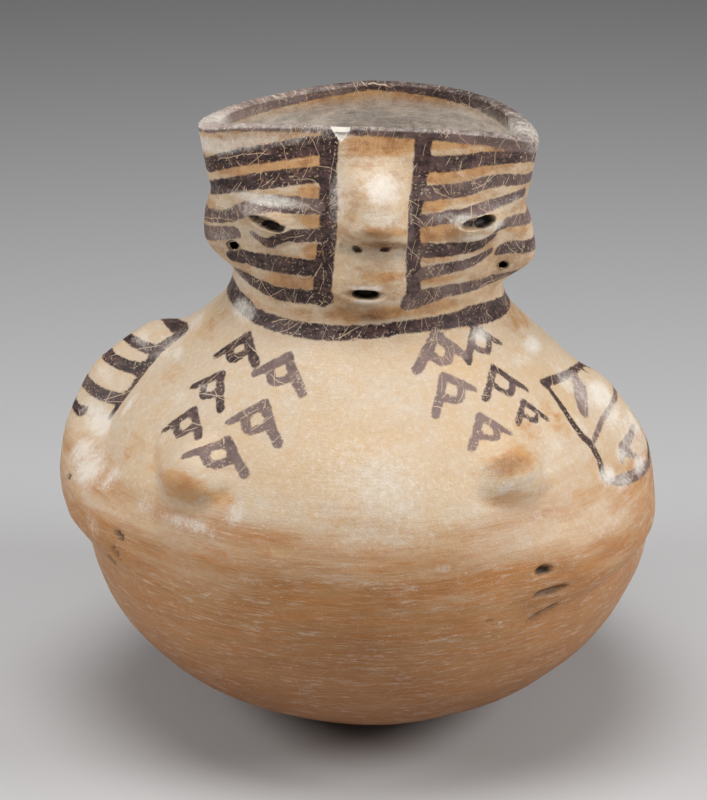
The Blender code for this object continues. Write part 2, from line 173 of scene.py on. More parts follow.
# What the potter modelled on the wall before firing.
modelled = {
    "rightHandArm": [  # turn, height, half width above and below the ridge, relief
        (-99, 119, 11, 11, 1.5), (-98, 112, 16, 16, 8.5), (-97, 99, 19, 19, 11.5),
        (-94, 85, 20, 19, 10.3), (-88, 76, 22, 15, 8.8), (-76, 71, 22, 11, 6.8),
        (-64, 69.5, 20, 10, 4.2), (-52, 69, 16, 9, 1.2),
    ],
    "leftHandArm": [
        (88, 118, 12, 12, 1.2), (88, 106, 17, 16, 4.6), (87, 92, 19, 18, 4.6),
        (83, 79, 22, 15, 2.8), (72, 75, 24, 11, 4.0), (57, 73, 24, 10, 4.4),
        (46, 71, 22, 10, 3.4), (35, 69, 16, 9, 1.2),
    ],
    "breasts": [(-42, 96.5, 15.5, 17, 10.5, 6.2), (34, 102, 15, 16, 10, 5.8)],
    "eyelids": [(-33, 167, 10.6, 6.8, 2.4, -8), (35.5, 168.2, 11, 6.8, 2.2, 5)],
    "ears": [(-80, 158, 13, 13.5, 12, 6.4), (80, 156, 13, 14.5, 11.5, 8)],
    "nose": {
        "x": 1.2, "top": 190, "full": 173, "tip": 167.2, "end": 159.2, "relief": 8.8,
        "halfWidthTop": 10.6, "halfWidthTip": 12.4, "widensFrom": 186, "widensTo": 166,
    },
    "muzzle": {
        "x": 0.4, "height": 149, "halfWidth": 14.5, "above": 16, "below": 8.8, "relief": 3.6,
    },
    # How flat each form's middle is, and how soft its lower and its upper edge are.
    "curves": {
        "arm": (2.4, 2, 2), "breast": (2.2, 1.5, 2.1), "nose": (2.3, 1.5, 1.5),
        "muzzle": (2.2, 0.9, 1.5), "eyelid": (2, 1.3, 1.3), "ear": (2.2, 1.3, 1.3),
        "earHeight": (1.6, 1.1, 1.1),
    },
    "softnessBlend": 5, "armTurnover": 0.8,
}


def offsets(points, turnDegrees, height):  # sideways and upward distance from a spot
    centre = spot(turnDegrees, height)[0]
    turn = np.radians(turnDegrees)
    off = points - centre
    side = off @ np.array([np.cos(turn), np.sin(turn), 0.0])
    rest = np.sqrt(np.maximum((off**2).sum(-1) - side**2, 0))
    return side, rest * np.sign(off[..., 2]), off


def leaned(points, turnDegrees, height, tilt):  # the same, turned by the tilt of a slit
    side, up, off = offsets(points, turnDegrees, height)
    lean = math.radians(tilt)
    alongIt = side * math.cos(lean) + up * math.sin(lean)
    return alongIt, up * math.cos(lean) - side * math.sin(lean), np.linalg.norm(off, axis=-1)


def formed(share, name, up=0):  # a form's height from 0 to 1, by its curve
    flatness, below, above = modelled["curves"][name]
    blend = modelled["softnessBlend"]
    return swelling(share, flatness, below + (above - below) * ramp(-blend, blend, up))


def arm(points, route):
    relief = np.zeros(points.shape[:-1])
    turnover = modelled["armTurnover"]
    ridge = [spot(turn, height)[0] for turn, height, *_ in route]
    for start, end, first, last in zip(ridge, ridge[1:], route, route[1:]):
        way = end - start
        part = np.clip(((points - start) @ way) / (way @ way), 0, 1)
        above, below, height = (first[i] + (last[i] - first[i]) * part for i in (2, 3, 4))
        off = points - (start + part[..., None] * way)
        distance = np.linalg.norm(off, axis=-1)
        upness = ramp(-turnover, turnover, off[..., 2] / np.maximum(distance, 1e-6))
        share = distance / (below + (above - below) * upness)
        relief = np.maximum(relief, height * formed(share, "arm"))
    return relief


def breast(points, turn, height, halfWidth, above, below, relief):
    side, up, _ = offsets(points, turn, height)
    share = np.hypot(side / halfWidth, up / np.where(up > 0, above, below))
    return relief * formed(share, "breast", up)


def nose(points):
    size, height = modelled["nose"], points[..., 2]
    halfWidth = size["halfWidthTop"] + (size["halfWidthTip"] - size["halfWidthTop"]) * ramp(
        size["widensFrom"], size["widensTo"], height
    )
    relief = size["relief"] * ramp(size["top"], size["full"], height)
    relief = relief * ramp(size["end"], size["tip"], height)
    share = np.abs(points[..., 0] - size["x"]) / halfWidth
    return (points[..., 1] < 0) * relief * formed(share, "nose")


def muzzle(points):
    size = modelled["muzzle"]
    up = points[..., 2] - size["height"]
    reach = np.where(up > 0, size["above"], size["below"])
    share = np.hypot((points[..., 0] - size["x"]) / size["halfWidth"], up / reach)
    return (points[..., 1] < 0) * size["relief"] * formed(share, "muzzle", up)


def eyelid(points, turn, height, halfWidth, halfHeight, relief, tilt):
    alongIt, acrossIt, away = leaned(points, turn, height, tilt)
    share = np.hypot(alongIt / halfWidth, acrossIt / halfHeight)
    return (away < 2 * halfWidth) * relief * formed(share, "eyelid")


def ear(points, turn, height, halfThickness, above, below, relief):
    side, _, off = offsets(points, turn, height)
    up = off[..., 2]
    through = formed(np.abs(side) / halfThickness, "ear")
    tall = formed(np.where(up > 0, up / above, -up / below), "earHeight")
    return (points[..., 0] * np.sign(turn) > 0) * relief * through * tall


def modelling(points):
    relief = arm(points, modelled["rightHandArm"]) + arm(points, modelled["leftHandArm"])
    relief += np.maximum(nose(points), muzzle(points))
    for shape, name in ((breast, "breasts"), (eyelid, "eyelids"), (ear, "ears")):
        for place in modelled[name]:
            relief += shape(points, *place)
    return relief


# Marks of the point: turn, height, half width, half height, depth, tilt, and how strong the painted
# shade inside it is.
incised = {
    "slits": [
        (-32, 167.2, 6.2, 1.6, 1.7, -8, 0.35),  # the eyes
        (-37.0, 168.0, 2.8, 0.6, 2.6, -8, 0.8),
        (-30.2, 166.7, 3.9, 1.25, 3.4, -11, 1.0),
        (34.2, 169.0, 6.0, 1.5, 1.7, 5, 0.4),
        (38.8, 169.4, 3.5, 1.5, 3.6, 9, 1.0),
        (31.2, 168.9, 2.2, 0.6, 2.6, 0, 0.8),
        (-0.7, 149.2, 4.1, 1.15, 3.8, 0, 1.0),  # the mouth
        (-0.9, 149.1, 6.2, 1.5, 0.7, 0, 0.25),
        (-2.0, 162.0, 1.5, 0.55, 1.6, -22, 0.75),  # the nostrils
        (3.1, 162.2, 1.5, 0.5, 1.6, 6, 0.75),
        (-55.5, 73, 2.6, 0.9, 1.4, -35, 0.7),  # between the fingers
        (-56.5, 67.6, 2.8, 0.9, 1.2, -35, 0.5),
        (-59, 63.8, 2.4, 0.8, 1.2, -40, 0.7),
        (35, 76, 2.8, 1.3, 2.2, 0, 0.9),
        (36.3, 69.2, 7.2, 1.0, 1.6, 4, 0.6),
        (35, 61.7, 6.4, 1.0, 1.6, 22, 0.5),
        (-78.2, 77.5, 0.7, 0.9, 0.6, 0, 0.8), (-76.5, 78.6, 0.6, 0.5, 0.5, 0, 0.6),  # pits
        (53.3, 96.6, 0.5, 0.5, 0.4, 0, 0.5), (23.1, 63.3, 0.8, 0.6, 0.5, 0, 0.4),
    ],
    "lines": {  # shallow drawn lines: places, half width, depth
        "chin": ([(-13, 148.1), (-5.4, 144.3), (0.5, 141.4), (8.1, 142.8), (16.7, 146.4)], 0.8, 0.55),
        "leftLid": ([(-45, 166.5), (-40, 162.4), (-32.5, 160.6), (-25, 162)], 0.7, 0.4),
        "rightBreast": ([(46, 111), (47.8, 107), (45.5, 103), (41.7, 100.4), (35, 98.6)], 1.3, 0.8),
        "leftBreast": ([(-58.4, 101.8), (-55.3, 97.5), (-48.3, 91.6), (-41.7, 89.6), (-35.2, 91.6),
                        (-31.4, 96)], 1.5, 0.7),
        "noseUnder": ([(-5.5, 162.6), (-2, 161.7), (1, 162.1), (4, 161.6), (8, 162.5)], 0.8, 0.9),
        "forearm": ([(-52.1, 73.9), (-40.9, 73.4), (-30.5, 71)], 0.5, 0.2),
    },
    # half widths at the lip's inner edge, at its outer edge and at the foot of the chip
    "chip": {"turn": -3.1, "halfWidths": (3.3, 2.3, 0.4), "deep": 2.8, "depth": 0.8, "edge": 0.5},
    # where a slit's walls and its shade begin and are full, as shares of its size
    "slitWalls": (1.2, 0.45), "slitShade": (1.05, 0.65), "slitPointedness": 1.2, "slitReach": 3,
    "lineSteps": 6, "lineReach": 3, "lineCurve": (1.6, 2),
}


def surfaceAt(turnDegrees, height):  # the modelled surface, sagged
    turn, length = np.radians(turnDegrees), along(height)
    points = wall(turn, length)
    return sagged(points + wallNormal(turn, length) * modelling(points)[..., None])


def routeDistance(points, route, reach):
    # Distance to a line drawn on the surface, and how far along it from 0 to 1.
    line = surfaceAt(route[:, 0], route[:, 1])
    near = np.all((points > line.min(0) - reach) & (points < line.max(0) + reach), axis=-1)
    distance = np.full(points.shape[:-1], 1e3)
    place = np.zeros(points.shape[:-1])
    some = points[near]
    best, at = np.full(len(some), 1e3), np.zeros(len(some))
    for i, (start, end) in enumerate(zip(line, line[1:])):
        way = end - start
        part = np.clip(((some - start) @ way) / max(way @ way, 1e-9), 0, 1)
        away = np.linalg.norm(some - start - part[:, None] * way, axis=-1)
        closer = away < best
        best, at = np.where(closer, away, best), np.where(closer, (i + part) / (len(line) - 1), at)
    distance[near], place[near] = best, at
    return distance, place


# The mesh: rings of the wall at even steps within each stretch of height.
meshPlan = {
    "columns": 360, "frontCrowding": 0.4, "faceEvenness": 1.3,
    "rows": [
        (0, 25, 14), (25, 60, 26), (60, 80, 26), (80, 140, 52), (140, 146, 9), (146, 152, 15),
        (152, 160, 14), (160, 172, 30), (172, 192, 30),
    ],
    "lipRows": 9, "innerHeadRows": 18, "innerDeepRows": 10,
}


def ringTurns():
    even = np.linspace(-np.pi, np.pi, meshPlan["columns"], endpoint=False)
    even = even - meshPlan["frontCrowding"] * np.sin(even)
    sine = np.sin(even)
    evened = np.sign(sine) * np.arcsin(np.abs(sine) ** meshPlan["faceEvenness"])
    return np.where(np.abs(even) < np.pi / 2, evened, even)


def slitDepths(points):
    # The depth of each slit, and the painted shade inside it.
    depth, shadeInCuts = np.zeros(points.shape[:-1]), np.zeros(points.shape[:-1])
    for turn, height, halfWidth, halfHeight, deep, tilt, shadeStrength in incised["slits"]:
        alongIt, acrossIt, away = leaned(points, turn, height, tilt)
        alongIt = np.abs(alongIt / halfWidth) ** incised["slitPointedness"]
        share = np.hypot(alongIt, acrossIt / halfHeight)
        share = np.where(away < 2 * halfWidth + incised["slitReach"], share, np.inf)
        depth = np.maximum(depth, deep * ramp(*incised["slitWalls"], share))
        shadeInCuts = np.maximum(shadeInCuts, shadeStrength * ramp(*incised["slitShade"], share))
    return depth, shadeInCuts


def lineDepths(points):
    depth = np.zeros(points.shape[:-1])
    for places, halfWidth, deep in incised["lines"].values():
        route = smoothCurve(places, incised["lineSteps"])
        distance, _ = routeDistance(points, route, incised["lineReach"])
        share = distance / (2 * halfWidth)
        depth = np.maximum(depth, deep * swelling(share, *incised["lineCurve"]))
    return depth


def chipShare(turn, halfWidth):
    chip = incised["chip"]
    middle = wall(math.radians(chip["turn"]), rimLength)
    away = np.abs((wall(turn, rimLength) - middle)[..., 0])
    return (np.cos(turn) > 0) * ramp(halfWidth + chip["edge"], halfWidth - chip["edge"], away)


def outerRing(turn, length):
    plain, normal = wall(turn, length), wallNormal(turn, length)
    relief = modelling(plain)
    slits, shadeInCuts = slitDepths(plain)
    chip, below = incised["chip"], rimLength - length
    _, top, foot = chip["halfWidths"]
    halfWidth = top + (foot - top) * np.clip(below / chip["deep"], 0, 1)
    lowEdge = ramp(chip["deep"] + chip["edge"], chip["deep"] - chip["edge"], below)
    chipped = chipShare(turn, halfWidth) * lowEdge
    cut = slits + lineDepths(sagged(plain + normal * relief[..., None])) + chip["depth"] * chipped
    points = sagged(plain + normal * (relief - cut)[..., None])
    points[..., 2] = np.maximum(points[..., 2], 0)
    return points, shadeInCuts, chipped


def innerRing(turn, length):
    points = wall(turn, length)
    return sagged(points - wallNormal(turn, length) * thickness(turn, points[..., 2])[..., None])


# The paint: every stroke is a route of (turn, height, half width), and how faded it is.
stripes = {
    "noseBandLeft": ([(-5, 191.5, 2.7), (-7, 178.5, 2.6), (-9, 167, 2.5), (-14.5, 153.5, 2.9),
                      (-17, 146.5, 2.7)], 0.12),
    "noseBandRight": ([(9, 192, 2.6), (9.5, 179, 2.2), (9.5, 170.5, 2.0), (12.5, 159, 2.2),
                       (16, 147, 2.5)], 0.2),
    "left1": ([(-74, 181, 2.3), (-50, 183.5, 2.5), (-26, 185.5, 2.8), (-6, 188, 2.9)], 0.08),
    "left2": ([(-81, 173, 2.0), (-55, 176, 2.3), (-29, 178.5, 2.5), (-8, 180.5, 2.5)], 0.08),
    "left3": ([(-79, 165.5, 2.2), (-60, 166.5, 2.0), (-47, 169.5, 2.3), (-29, 172.5, 2.6),
               (-9, 172.5, 2.4)], 0.5),
    "left4Ear": ([(-78, 160.5, 2.5), (-67, 161, 2.4), (-57, 161.5, 1.9)], 0.65),
    "left4": ([(-43, 163, 1.2), (-35, 161.5, 1.7), (-25, 164, 1.9), (-11, 165.5, 2.0)], 0.2),
    "left5": ([(-64, 153.5, 2.2), (-37, 155, 2.8), (-17, 155.5, 2.6)], 0.1),
    "left6": ([(-64, 147, 1.8), (-48, 146, 2.1), (-36, 145.5, 2.2), (-15, 147, 2.2)], 0.12),
    "right1": ([(10, 184, 2.4), (21, 184.5, 2.3), (37, 186.5, 2.0), (68, 188, 1.7)], 0.2),
    "right2": ([(10.5, 176.5, 2.3), (26, 178, 2.1), (43, 180.5, 1.8), (82, 181, 1.5)], 0.45),
    "right3": ([(10, 169.5, 1.9), (26, 171.5, 1.9), (38, 173.5, 1.7), (51, 175, 1.5),
                (69, 176.5, 1.4)], 0.5),
    "right3Ear": ([(51, 167, 1.6), (64, 168, 1.8), (88, 167.5, 1.9)], 0.6),
    "right4": ([(12.5, 162, 2.3), (31, 162, 1.9), (41, 162.5, 1.7), (49, 165, 1.2)], 0.25),
    "right4Ear": ([(58.5, 158.5, 1.8), (66, 160, 2.0), (84, 160.5, 2.1)], 0.35),
    "right5": ([(13.5, 154.5, 2.2), (24, 156, 1.9), (39, 157, 1.6), (51, 159.5, 1.1)], 0.45),
    "right6": ([(14, 146.5, 2.8), (23, 148, 2.4), (32, 149, 2.0), (59, 149, 1.5),
                (67, 150.5, 1.4)], 0.5),
    "neck": ([(-77, 138.5, 3.0), (-58, 137.5, 2.6), (-50, 136.5, 2.2), (-22, 136.5, 2.3),
              (3, 138, 2.0), (12, 139, 1.8), (34, 139.5, 2.3), (46, 139.5, 3.0), (60, 138.5, 3.1),
              (78, 137, 2.5)], 0.12),
    "back1": ([(68, 188, 1.7), (110, 186.5, 2.2), (180, 184.5, 2.4), (250, 183, 2.3),
               (286, 181, 2.3)], 0.35),
    "back2": ([(82, 181, 1.5), (130, 178.5, 2.1), (180, 176.5, 2.3), (230, 175, 2.2),
               (279, 173, 2.0)], 0.35),
    "back3": ([(88, 167.5, 1.9), (180, 167, 2.2), (230, 166, 2.2), (281, 165.5, 2.2)], 0.4),
    "back4": ([(84, 160.5, 2.1), (130, 158.5, 2.2), (180, 157.5, 2.1), (230, 158, 2.2),
               (282, 160.5, 2.5)], 0.3),
    "back5": ([(67, 150.5, 1.4), (110, 149.5, 2.0), (180, 148.5, 2.2), (250, 147.5, 2.0),
               (296, 147, 1.8)], 0.35),
    "neckBack": ([(78, 137, 2.5), (120, 136, 2.3), (180, 136.5, 2.4), (240, 137, 2.3),
                  (283, 138.5, 3.0)], 0.3),
    "rightArmInner": ([(-89.5, 120.5, 1.8), (-87, 113.5, 1.6), (-86, 109.5, 1.5), (-84, 105, 1.4),
                       (-83, 95, 1.1)], 0.35),
    "rightArmTop": ([(-89, 121, 2.4), (-94, 120, 2.8), (-99.5, 118.5, 2.6), (-104, 117, 2.2)], 0.15),
    "rightArmOuter": ([(-101, 118, 2.2), (-106, 110, 1.5), (-107, 103, 1.5), (-106, 95, 1.5)], 0.25),
    "rightArmRung1": ([(-104, 106.5, 1.5), (-92, 111, 1.7), (-88, 114, 1.7)], 0.12),
    "rightArmRung2": ([(-106, 101.5, 2.0), (-92.5, 104.5, 2.1), (-86, 109, 2.0)], 0.1),
    "rightArmRung3": ([(-104, 93.5, 1.7), (-90, 96.5, 2.0), (-84, 100.5, 2.0)], 0.3),
    "rightArmRung4": ([(-102, 88.5, 1.5), (-89.5, 90, 1.6), (-88.5, 92, 1.1)], 0.15),
    "leftArmTop": ([(62.5, 118.5, 1.5), (72, 117, 1.6), (90, 113.5, 1.2)], 0.2),
    "leftArmInner": ([(63, 116.5, 1.1), (61, 106.5, 1.6), (62.5, 101.5, 1.7), (62, 97.5, 1.6),
                      (60, 92.5, 1.3)], 0.2),
    "leftArmBlotch": ([(80, 114.5, 1.8), (77.5, 112, 2.6), (73.5, 110.5, 3.0), (69.5, 108.5, 2.4)],
                      0.9),
    "leftArmCross": ([(64.5, 102, 1.0), (74.5, 103.5, 1.0), (92, 104.5, 1.1)], 0.7),
    "leftArmEdge": ([(84, 115, 0.6), (86.5, 111.5, 0.5)], 0.9),
    "leftArmZigzag": ([(70.5, 93, 0.9), (74.5, 94.5, 1.6), (78, 95, 1.7), (83, 96, 1.0)], 0.8),
    "leftArmHook": ([(74.5, 94, 1.5), (76.5, 92, 1.2), (78.5, 90, 0.9)], 0.8),
    "leftArmFoot": ([(61.5, 91.5, 1.4), (66.5, 89.5, 1.9), (76, 87, 1.8), (82, 85.5, 1.5)], 0.6),
    "leftArmOuter": ([(90, 113.5, 1.2), (95, 106, 1.5), (94, 95, 1.5), (82, 85.5, 1.5)], 0.4),
}

# One hooked figure serves all over the chest. Its corners are in mm from its peak, with plus across
# towards the middle of the chest.
hookedFigure = {
    "tail": (-9, -8),
    "bend": (-5.2, -4.6),
    "peak": (0, 0),
    "leg": (10.5, -8.6),
    "foot": (-0.4, -8),
    "join": (5.4, -4.3),
    "tailTaper": 0.75,
    "hookTaper": 0.9,
    # Each figure's place: turn, height, size, lean in degrees, half width, and how faded it is.
    "places": [
        (-51, 131, 0.75, 10, 1.6, 0.1), (-29.5, 129.5, 0.8, -5, 1.6, 0.6),
        (-50, 121, 0.75, -5, 1.4, 0.25), (-30.5, 118, 0.85, -5, 1.6, 0.65),
        (-51, 111.5, 0.8, 10, 1.35, 0.35), (-36, 108, 0.85, 5, 1.6, 0.55),
        (27, 136, 0.8, -5, 1.7, 0.75), (47, 136, 0.8, -5, 1.2, 0.4),
        (25.5, 126.5, 0.75, -15, 1.35, 0.85), (46, 126, 0.8, 5, 1.2, 0.3),
        (49, 117, 0.6, 10, 1.0, 0.3), (32, 116.5, 0.7, -5, 1.3, 0.9),
    ],
}


def figureStrokes(turn, height, size, lean, halfWidth, faded):
    mmPerDegree = math.radians(np.linalg.norm(wall(math.radians(turn), along(height))[:2]))
    degreesInwards = -math.copysign(1 / mmPerDegree, turn)
    cos, sin = size * math.cos(math.radians(lean)), size * math.sin(math.radians(lean))

    def corner(name, width):
        across, up = hookedFigure[name]
        inwards = (across * cos - up * sin) * degreesInwards
        return turn + inwards, height + across * sin + up * cos, width

    thin, hook = halfWidth * hookedFigure["tailTaper"], halfWidth * hookedFigure["hookTaper"]
    peak = corner("peak", halfWidth)
    yield [corner("tail", thin), corner("bend", halfWidth), peak], faded
    yield [peak, corner("leg", halfWidth)], faded
    yield [corner("bend", hook), corner("foot", hook), corner("join", hook)], faded


rimPaint = {
    "onLip": 2.5,  # how far inside the paint's edge the whole lip counts, in mm
    "reach": [  # turn, how far the paint runs down outside, and inside
        (-180, 2.6, 1.2), (-150, 2.5, 2.2), (-120, 2.2, 3.0), (-75, 0.8, 2.2), (-45, 0.4, 1.6),
        (-12, 0.8, 1.6), (8, 1.6, 1.8), (30, 2.4, 2.2), (60, 3.4, 2.6), (90, 3.2, 3.0), (125, 2.8, 3.6),
        (155, 2.6, 2.2), (180, 2.6, 1.2),
    ],
    "faded": [(-180, 0.25), (-110, 0.75), (-70, 0.85), (-30, 0.6), (0, 0.35), (40, 0.5), (90, 0.4),
              (140, 0.1), (180, 0.25)],
    "bloomAndPaintedHighlights": [(-180, 0.3), (-120, 0.45), (-95, 0.85), (-70, 0.6), (-20, 0.55), (30, 0.5), (70, 0.55),
             (90, 0.75), (115, 0.4), (180, 0.3)],
}

# Soft patches: turn, height, half width, half height, strength.
patches = {
    # orange clouds between the stripes, with painted shade under the nose tip and on the breasts
    "ochre": [
        (1, 188.8, 11, 4.4, 1.3), (-11, 184.6, 6, 3, 1.2), (-24, 182.9, 16, 3, 1.2),
        (-42, 181, 12, 2.6, 0.8), (-40, 189.2, 22, 2.6, 0.9), (-12, 190.6, 9, 2.2, 1.0),
        (-12, 176.4, 5, 2.6, 1.1), (-22, 175.4, 10, 2.2, 0.6), (-13, 169.4, 5.5, 2.4, 1.0),
        (-14.5, 160.8, 5, 3, 1.2), (-30, 158.4, 9, 2.2, 0.7), (-32, 150.8, 12, 2.8, 0.9),
        (-20, 151.4, 7, 2.6, 0.9), (-52, 150, 9, 2.4, 0.5), (-50, 175, 12, 2, 0.4),
        (-60, 158, 9, 2.4, 0.4), (20, 189.0, 12, 2.2, 1.1), (42, 187.6, 16, 2.6, 0.9),
        (16, 180.6, 7, 2.6, 1.3), (30, 182, 9, 2.4, 1.0), (46, 183.4, 12, 2, 0.7),
        (15.5, 173.8, 5.5, 2.6, 1.3), (27, 174.6, 8, 2.2, 0.7), (19, 166.4, 6.5, 3, 1.4),
        (13, 164.8, 3, 3, 1.1), (22, 159, 8, 2, 0.8), (24, 152, 11, 2, 0.8),
        (40, 153.2, 10, 2, 0.6), (60, 153, 9, 3, 0.5), (68, 163.6, 9, 2, 0.6),
        (44, 159.8, 8, 2, 0.5), (26, 143.6, 13, 2.6, 0.8), (46, 144.2, 12, 2.6, 0.5),
        (-9, 142, 9, 3, 0.9), (6, 143.4, 9, 3, 1.0), (3, 154.6, 8, 2.2, 0.9),
        (3, 166.4, 8, 1.8, 1.0), (-26, 141.2, 11, 2.6, 0.6), (-50, 141.5, 12, 2.6, 0.5),
        (-74, 128, 9, 5, 0.6), (-78, 133, 10, 4, 0.5), (84, 130, 16, 8, 0.7), (66, 133, 7, 4, 0.5),
        (-70, 116, 8, 5, 0.5), (-62, 107, 6, 9, 0.3), (56, 110, 6, 9, 0.6), (45, 110.4, 6, 7, 0.6),
        (-52, 99, 8, 9, 0.5), (-41, 95, 12, 5.5, 1.0), (-32, 95, 7, 4, 0.8),
        (34, 104, 12, 6.5, 0.85), (30, 95.6, 9, 3, 0.6), (-72, 84, 8, 12, 0.5),
        (-64, 97, 5, 8, 0.5), (70, 84, 9, 6, 0.5), (0, 88, 26, 3, 0.45), (-20, 84, 18, 3, 0.5),
        (50, 92, 8, 5, 0.5),
    ],
    "stainAndShade": [  # brown and grey staining, with painted shade under the nose and the breasts, round the eyes and the mouth, and along the chin
        (3.4, 162.9, 9, 1.6, 1.1), (3, 165.6, 8, 1.6, 0.5), (2.5, 159.9, 7, 1.5, 0.7),
        (-1, 146.2, 8, 2.4, 0.5), (4, 143.4, 8, 2, 0.6), (31.4, 103, 9, 4.4, 0.85),
        (35, 101.6, 4, 2.2, 0.6), (47.4, 106, 1.2, 5, 0.4), (-40, 91.4, 8, 1.4, 0.25),
        (-31, 163.6, 6, 1.4, 0.6), (3, 170, 9, 3, 0.3), (-5, 166, 3, 5, 0.35),
        (8.5, 168, 2.4, 7, 0.4), (-2, 33, 30, 12, 0.3), (20, 63, 3, 2, 0.3), (42, 161, 8, 2, 0.3),
        (20, 165.4, 6, 2, 0.4), (-47, 105, 3, 9, 0.25), (-32, 167, 9, 2.4, 0.7),
        (-40, 163.6, 7, 2, 0.6), (-26, 170.4, 7, 2, 0.4), (35, 168.6, 8, 1.8, 0.6),
        (42, 171.4, 6, 1.6, 0.5), (34, 165.2, 6, 1.6, 0.4), (-8, 149.4, 4, 2, 0.5),
        (7.6, 149, 4, 2, 0.5), (-40, 174, 9, 2, 0.4), (-13, 156, 3, 3, 0.4),
        (-8, 144.6, 4, 1.2, 0.7), (0.5, 141.6, 5, 1.2, 0.9), (9, 143.4, 5, 1.2, 0.7),
    ],
    "bloomAndPaintedHighlights": [  # chalky white bloom, with painted highlights on the nose, the lips and the eyelids
        (-84, 94.8, 9, 5, 1.0), (-73.5, 85.8, 9, 7, 1.0), (-79.6, 87, 8, 6, 0.9),
        (-77.2, 103.8, 3, 6, 0.8), (-90.6, 102.8, 5, 3, 0.6), (-92.5, 113.7, 5, 3, 0.7),
        (-64.7, 88, 4, 6, 0.7), (-47.5, 94, 5, 3, 0.6), (-50.7, 86.4, 6, 3, 0.6),
        (-38, 86.6, 13, 2.6, 0.8), (-28, 92, 4, 4, 0.8), (-22.6, 98, 5, 4, 0.4),
        (-51.2, 117.5, 4, 3, 0.5), (-58.7, 113.6, 4, 3, 0.5), (-67, 106.5, 4, 4, 0.4),
        (-77.8, 119.6, 5, 3, 0.9), (-88, 126.2, 10, 4, 0.7), (-61, 137.4, 8, 4, 0.9),
        (-70, 145, 8, 4, 0.6), (-66, 160, 7, 6, 0.5), (-42, 164.6, 5, 5, 0.5),
        (-30, 174.4, 14, 2.0, 1.0), (-38, 171, 8, 2.6, 0.6), (-60, 172, 10, 5, 0.4),
        (80.9, 106.3, 6, 6, 1.0), (79, 100.9, 6, 4, 0.8), (74, 114, 6, 4, 0.8),
        (64, 105.4, 3, 5, 0.6), (62, 91, 6, 3.4, 1.1), (73, 92, 6, 3, 0.9), (84.3, 94, 5, 6, 0.9),
        (77.2, 85.8, 8, 2.4, 1.0), (75.6, 124.8, 7, 4, 0.9), (77, 128.5, 6, 2, 0.6),
        (66, 87, 8, 3, 0.7), (37, 99.2, 5, 2, 0.5), (29.8, 98, 5, 1.8, 0.6),
        (42.6, 99.6, 5, 2, 0.6), (40, 95.6, 8, 2.4, 0.5), (38, 89, 12, 3, 0.4),
        (48.7, 132.8, 5, 3, 1.0), (73.7, 125.3, 7, 3, 0.8), (62, 124, 8, 3, 0.6),
        (50.4, 104, 3, 6, 0.5), (-84, 189.8, 20, 3.4, 1.0), (88, 189.5, 12, 3, 0.7),
        (28, 169.2, 5, 2.2, 0.9), (47.9, 166.6, 5, 2, 0.8), (38, 163.8, 6, 1.2, 0.8),
        (20, 170.4, 5, 2, 0.5), (56, 172, 9, 3, 0.5), (-0.6, 151.4, 6, 1.0, 1.0),
        (-0.6, 147.2, 6, 1.0, 0.8), (1.5, 177, 6.5, 6.5, 1.0), (1.5, 170, 7, 4, 0.7),
        (-5, 175, 3, 9, 0.6), (7.4, 160, 4, 2, 0.5), (62, 152, 5, 3, 0.35), (48, 84, 8, 5, 0.4),
        (14, 80, 3, 1.2, 0.8), (-64, 74, 6, 5, 0.5), (-22, 75, 8, 2, 0.4), (52, 80, 10, 5, 0.4),
        (-80, 62, 24, 18, 0.4), (76, 64, 24, 18, 0.4), (80, 92, 9, 12, 0.6),
        (2, 104, 24, 16, 0.55), (4, 90, 22, 7, 0.4), (-16, 104, 10, 6, 0.3), (12, 122, 12, 8, 0.3),
        (-84, 119, 9, 11, 0.6), (76, 112, 8, 13, 0.6),
    ],
}
patchEdge = {"reach": 3, "fall": 1.5}  # how many half sizes away it ends, and how sharply it fades


def patchShare(points, name):
    share = np.zeros(points.shape[:-1])
    for turn, height, halfWidth, halfHeight, strength in patches[name]:
        centre, side, up, _ = spot(turn, height)
        off = points - centre
        u, v = off @ side / halfWidth, off @ up / halfHeight
        near = np.linalg.norm(off, axis=-1) < patchEdge["reach"] * max(halfWidth, halfHeight)
        share = np.maximum(share, near * strength * np.exp(-((u**2 + v**2) ** patchEdge["fall"])))
    return share


def periodic(pairs, turn, column):
    table = np.array(pairs, float)
    return np.interp(np.degrees(turn), table[:, 0], table[:, column])


def allStrokes():
    yield from stripes.values()
    for place in hookedFigure["places"]:
        yield from figureStrokes(*place)


brush = {
    "far": 3,  # the paint's distance counts up to this far on either side of an edge, in mm
    "plainFaded": 0.4, "steps": 8, "straightSteps": 4, "reach": 6,
}


def unpainted(count):
    return np.full(count, -float(brush["far"])), np.full(count, brush["plainFaded"])


def paintOn(points):
    # Signed distance into the nearest stroke, in mm, and how faded that stroke is.
    paint, faded = unpainted(len(points))
    for places, strokeFaded in allStrokes():
        route = smoothCurve(places, brush["steps"] if len(places) > 2 else brush["straightSteps"])
        distance, place = routeDistance(points, route, brush["reach"])
        halfWidth = np.interp(place, np.linspace(0, 1, len(route)), route[:, 2])
        inside = halfWidth - distance
        better = inside > paint
        paint, faded = np.where(better, inside, paint), np.where(better, strokeFaded, faded)
    return paint, faded


def outerLengths():
    found = []
    for low, high, rows in meshPlan["rows"]:
        found += list(np.linspace(along(low), along(high), rows, endpoint=False))
    return np.array(found[1:] + [rimLength])[:, None]


def innerLengths():
    headLength = along(jarForm["thinsTo"])
    head = np.linspace(rimLength, headLength, meshPlan["innerHeadRows"], endpoint=False)
    deep = np.linspace(headLength, 0, meshPlan["innerDeepRows"] + 1)[:-1]
    return np.concatenate([head, deep])[:, None]


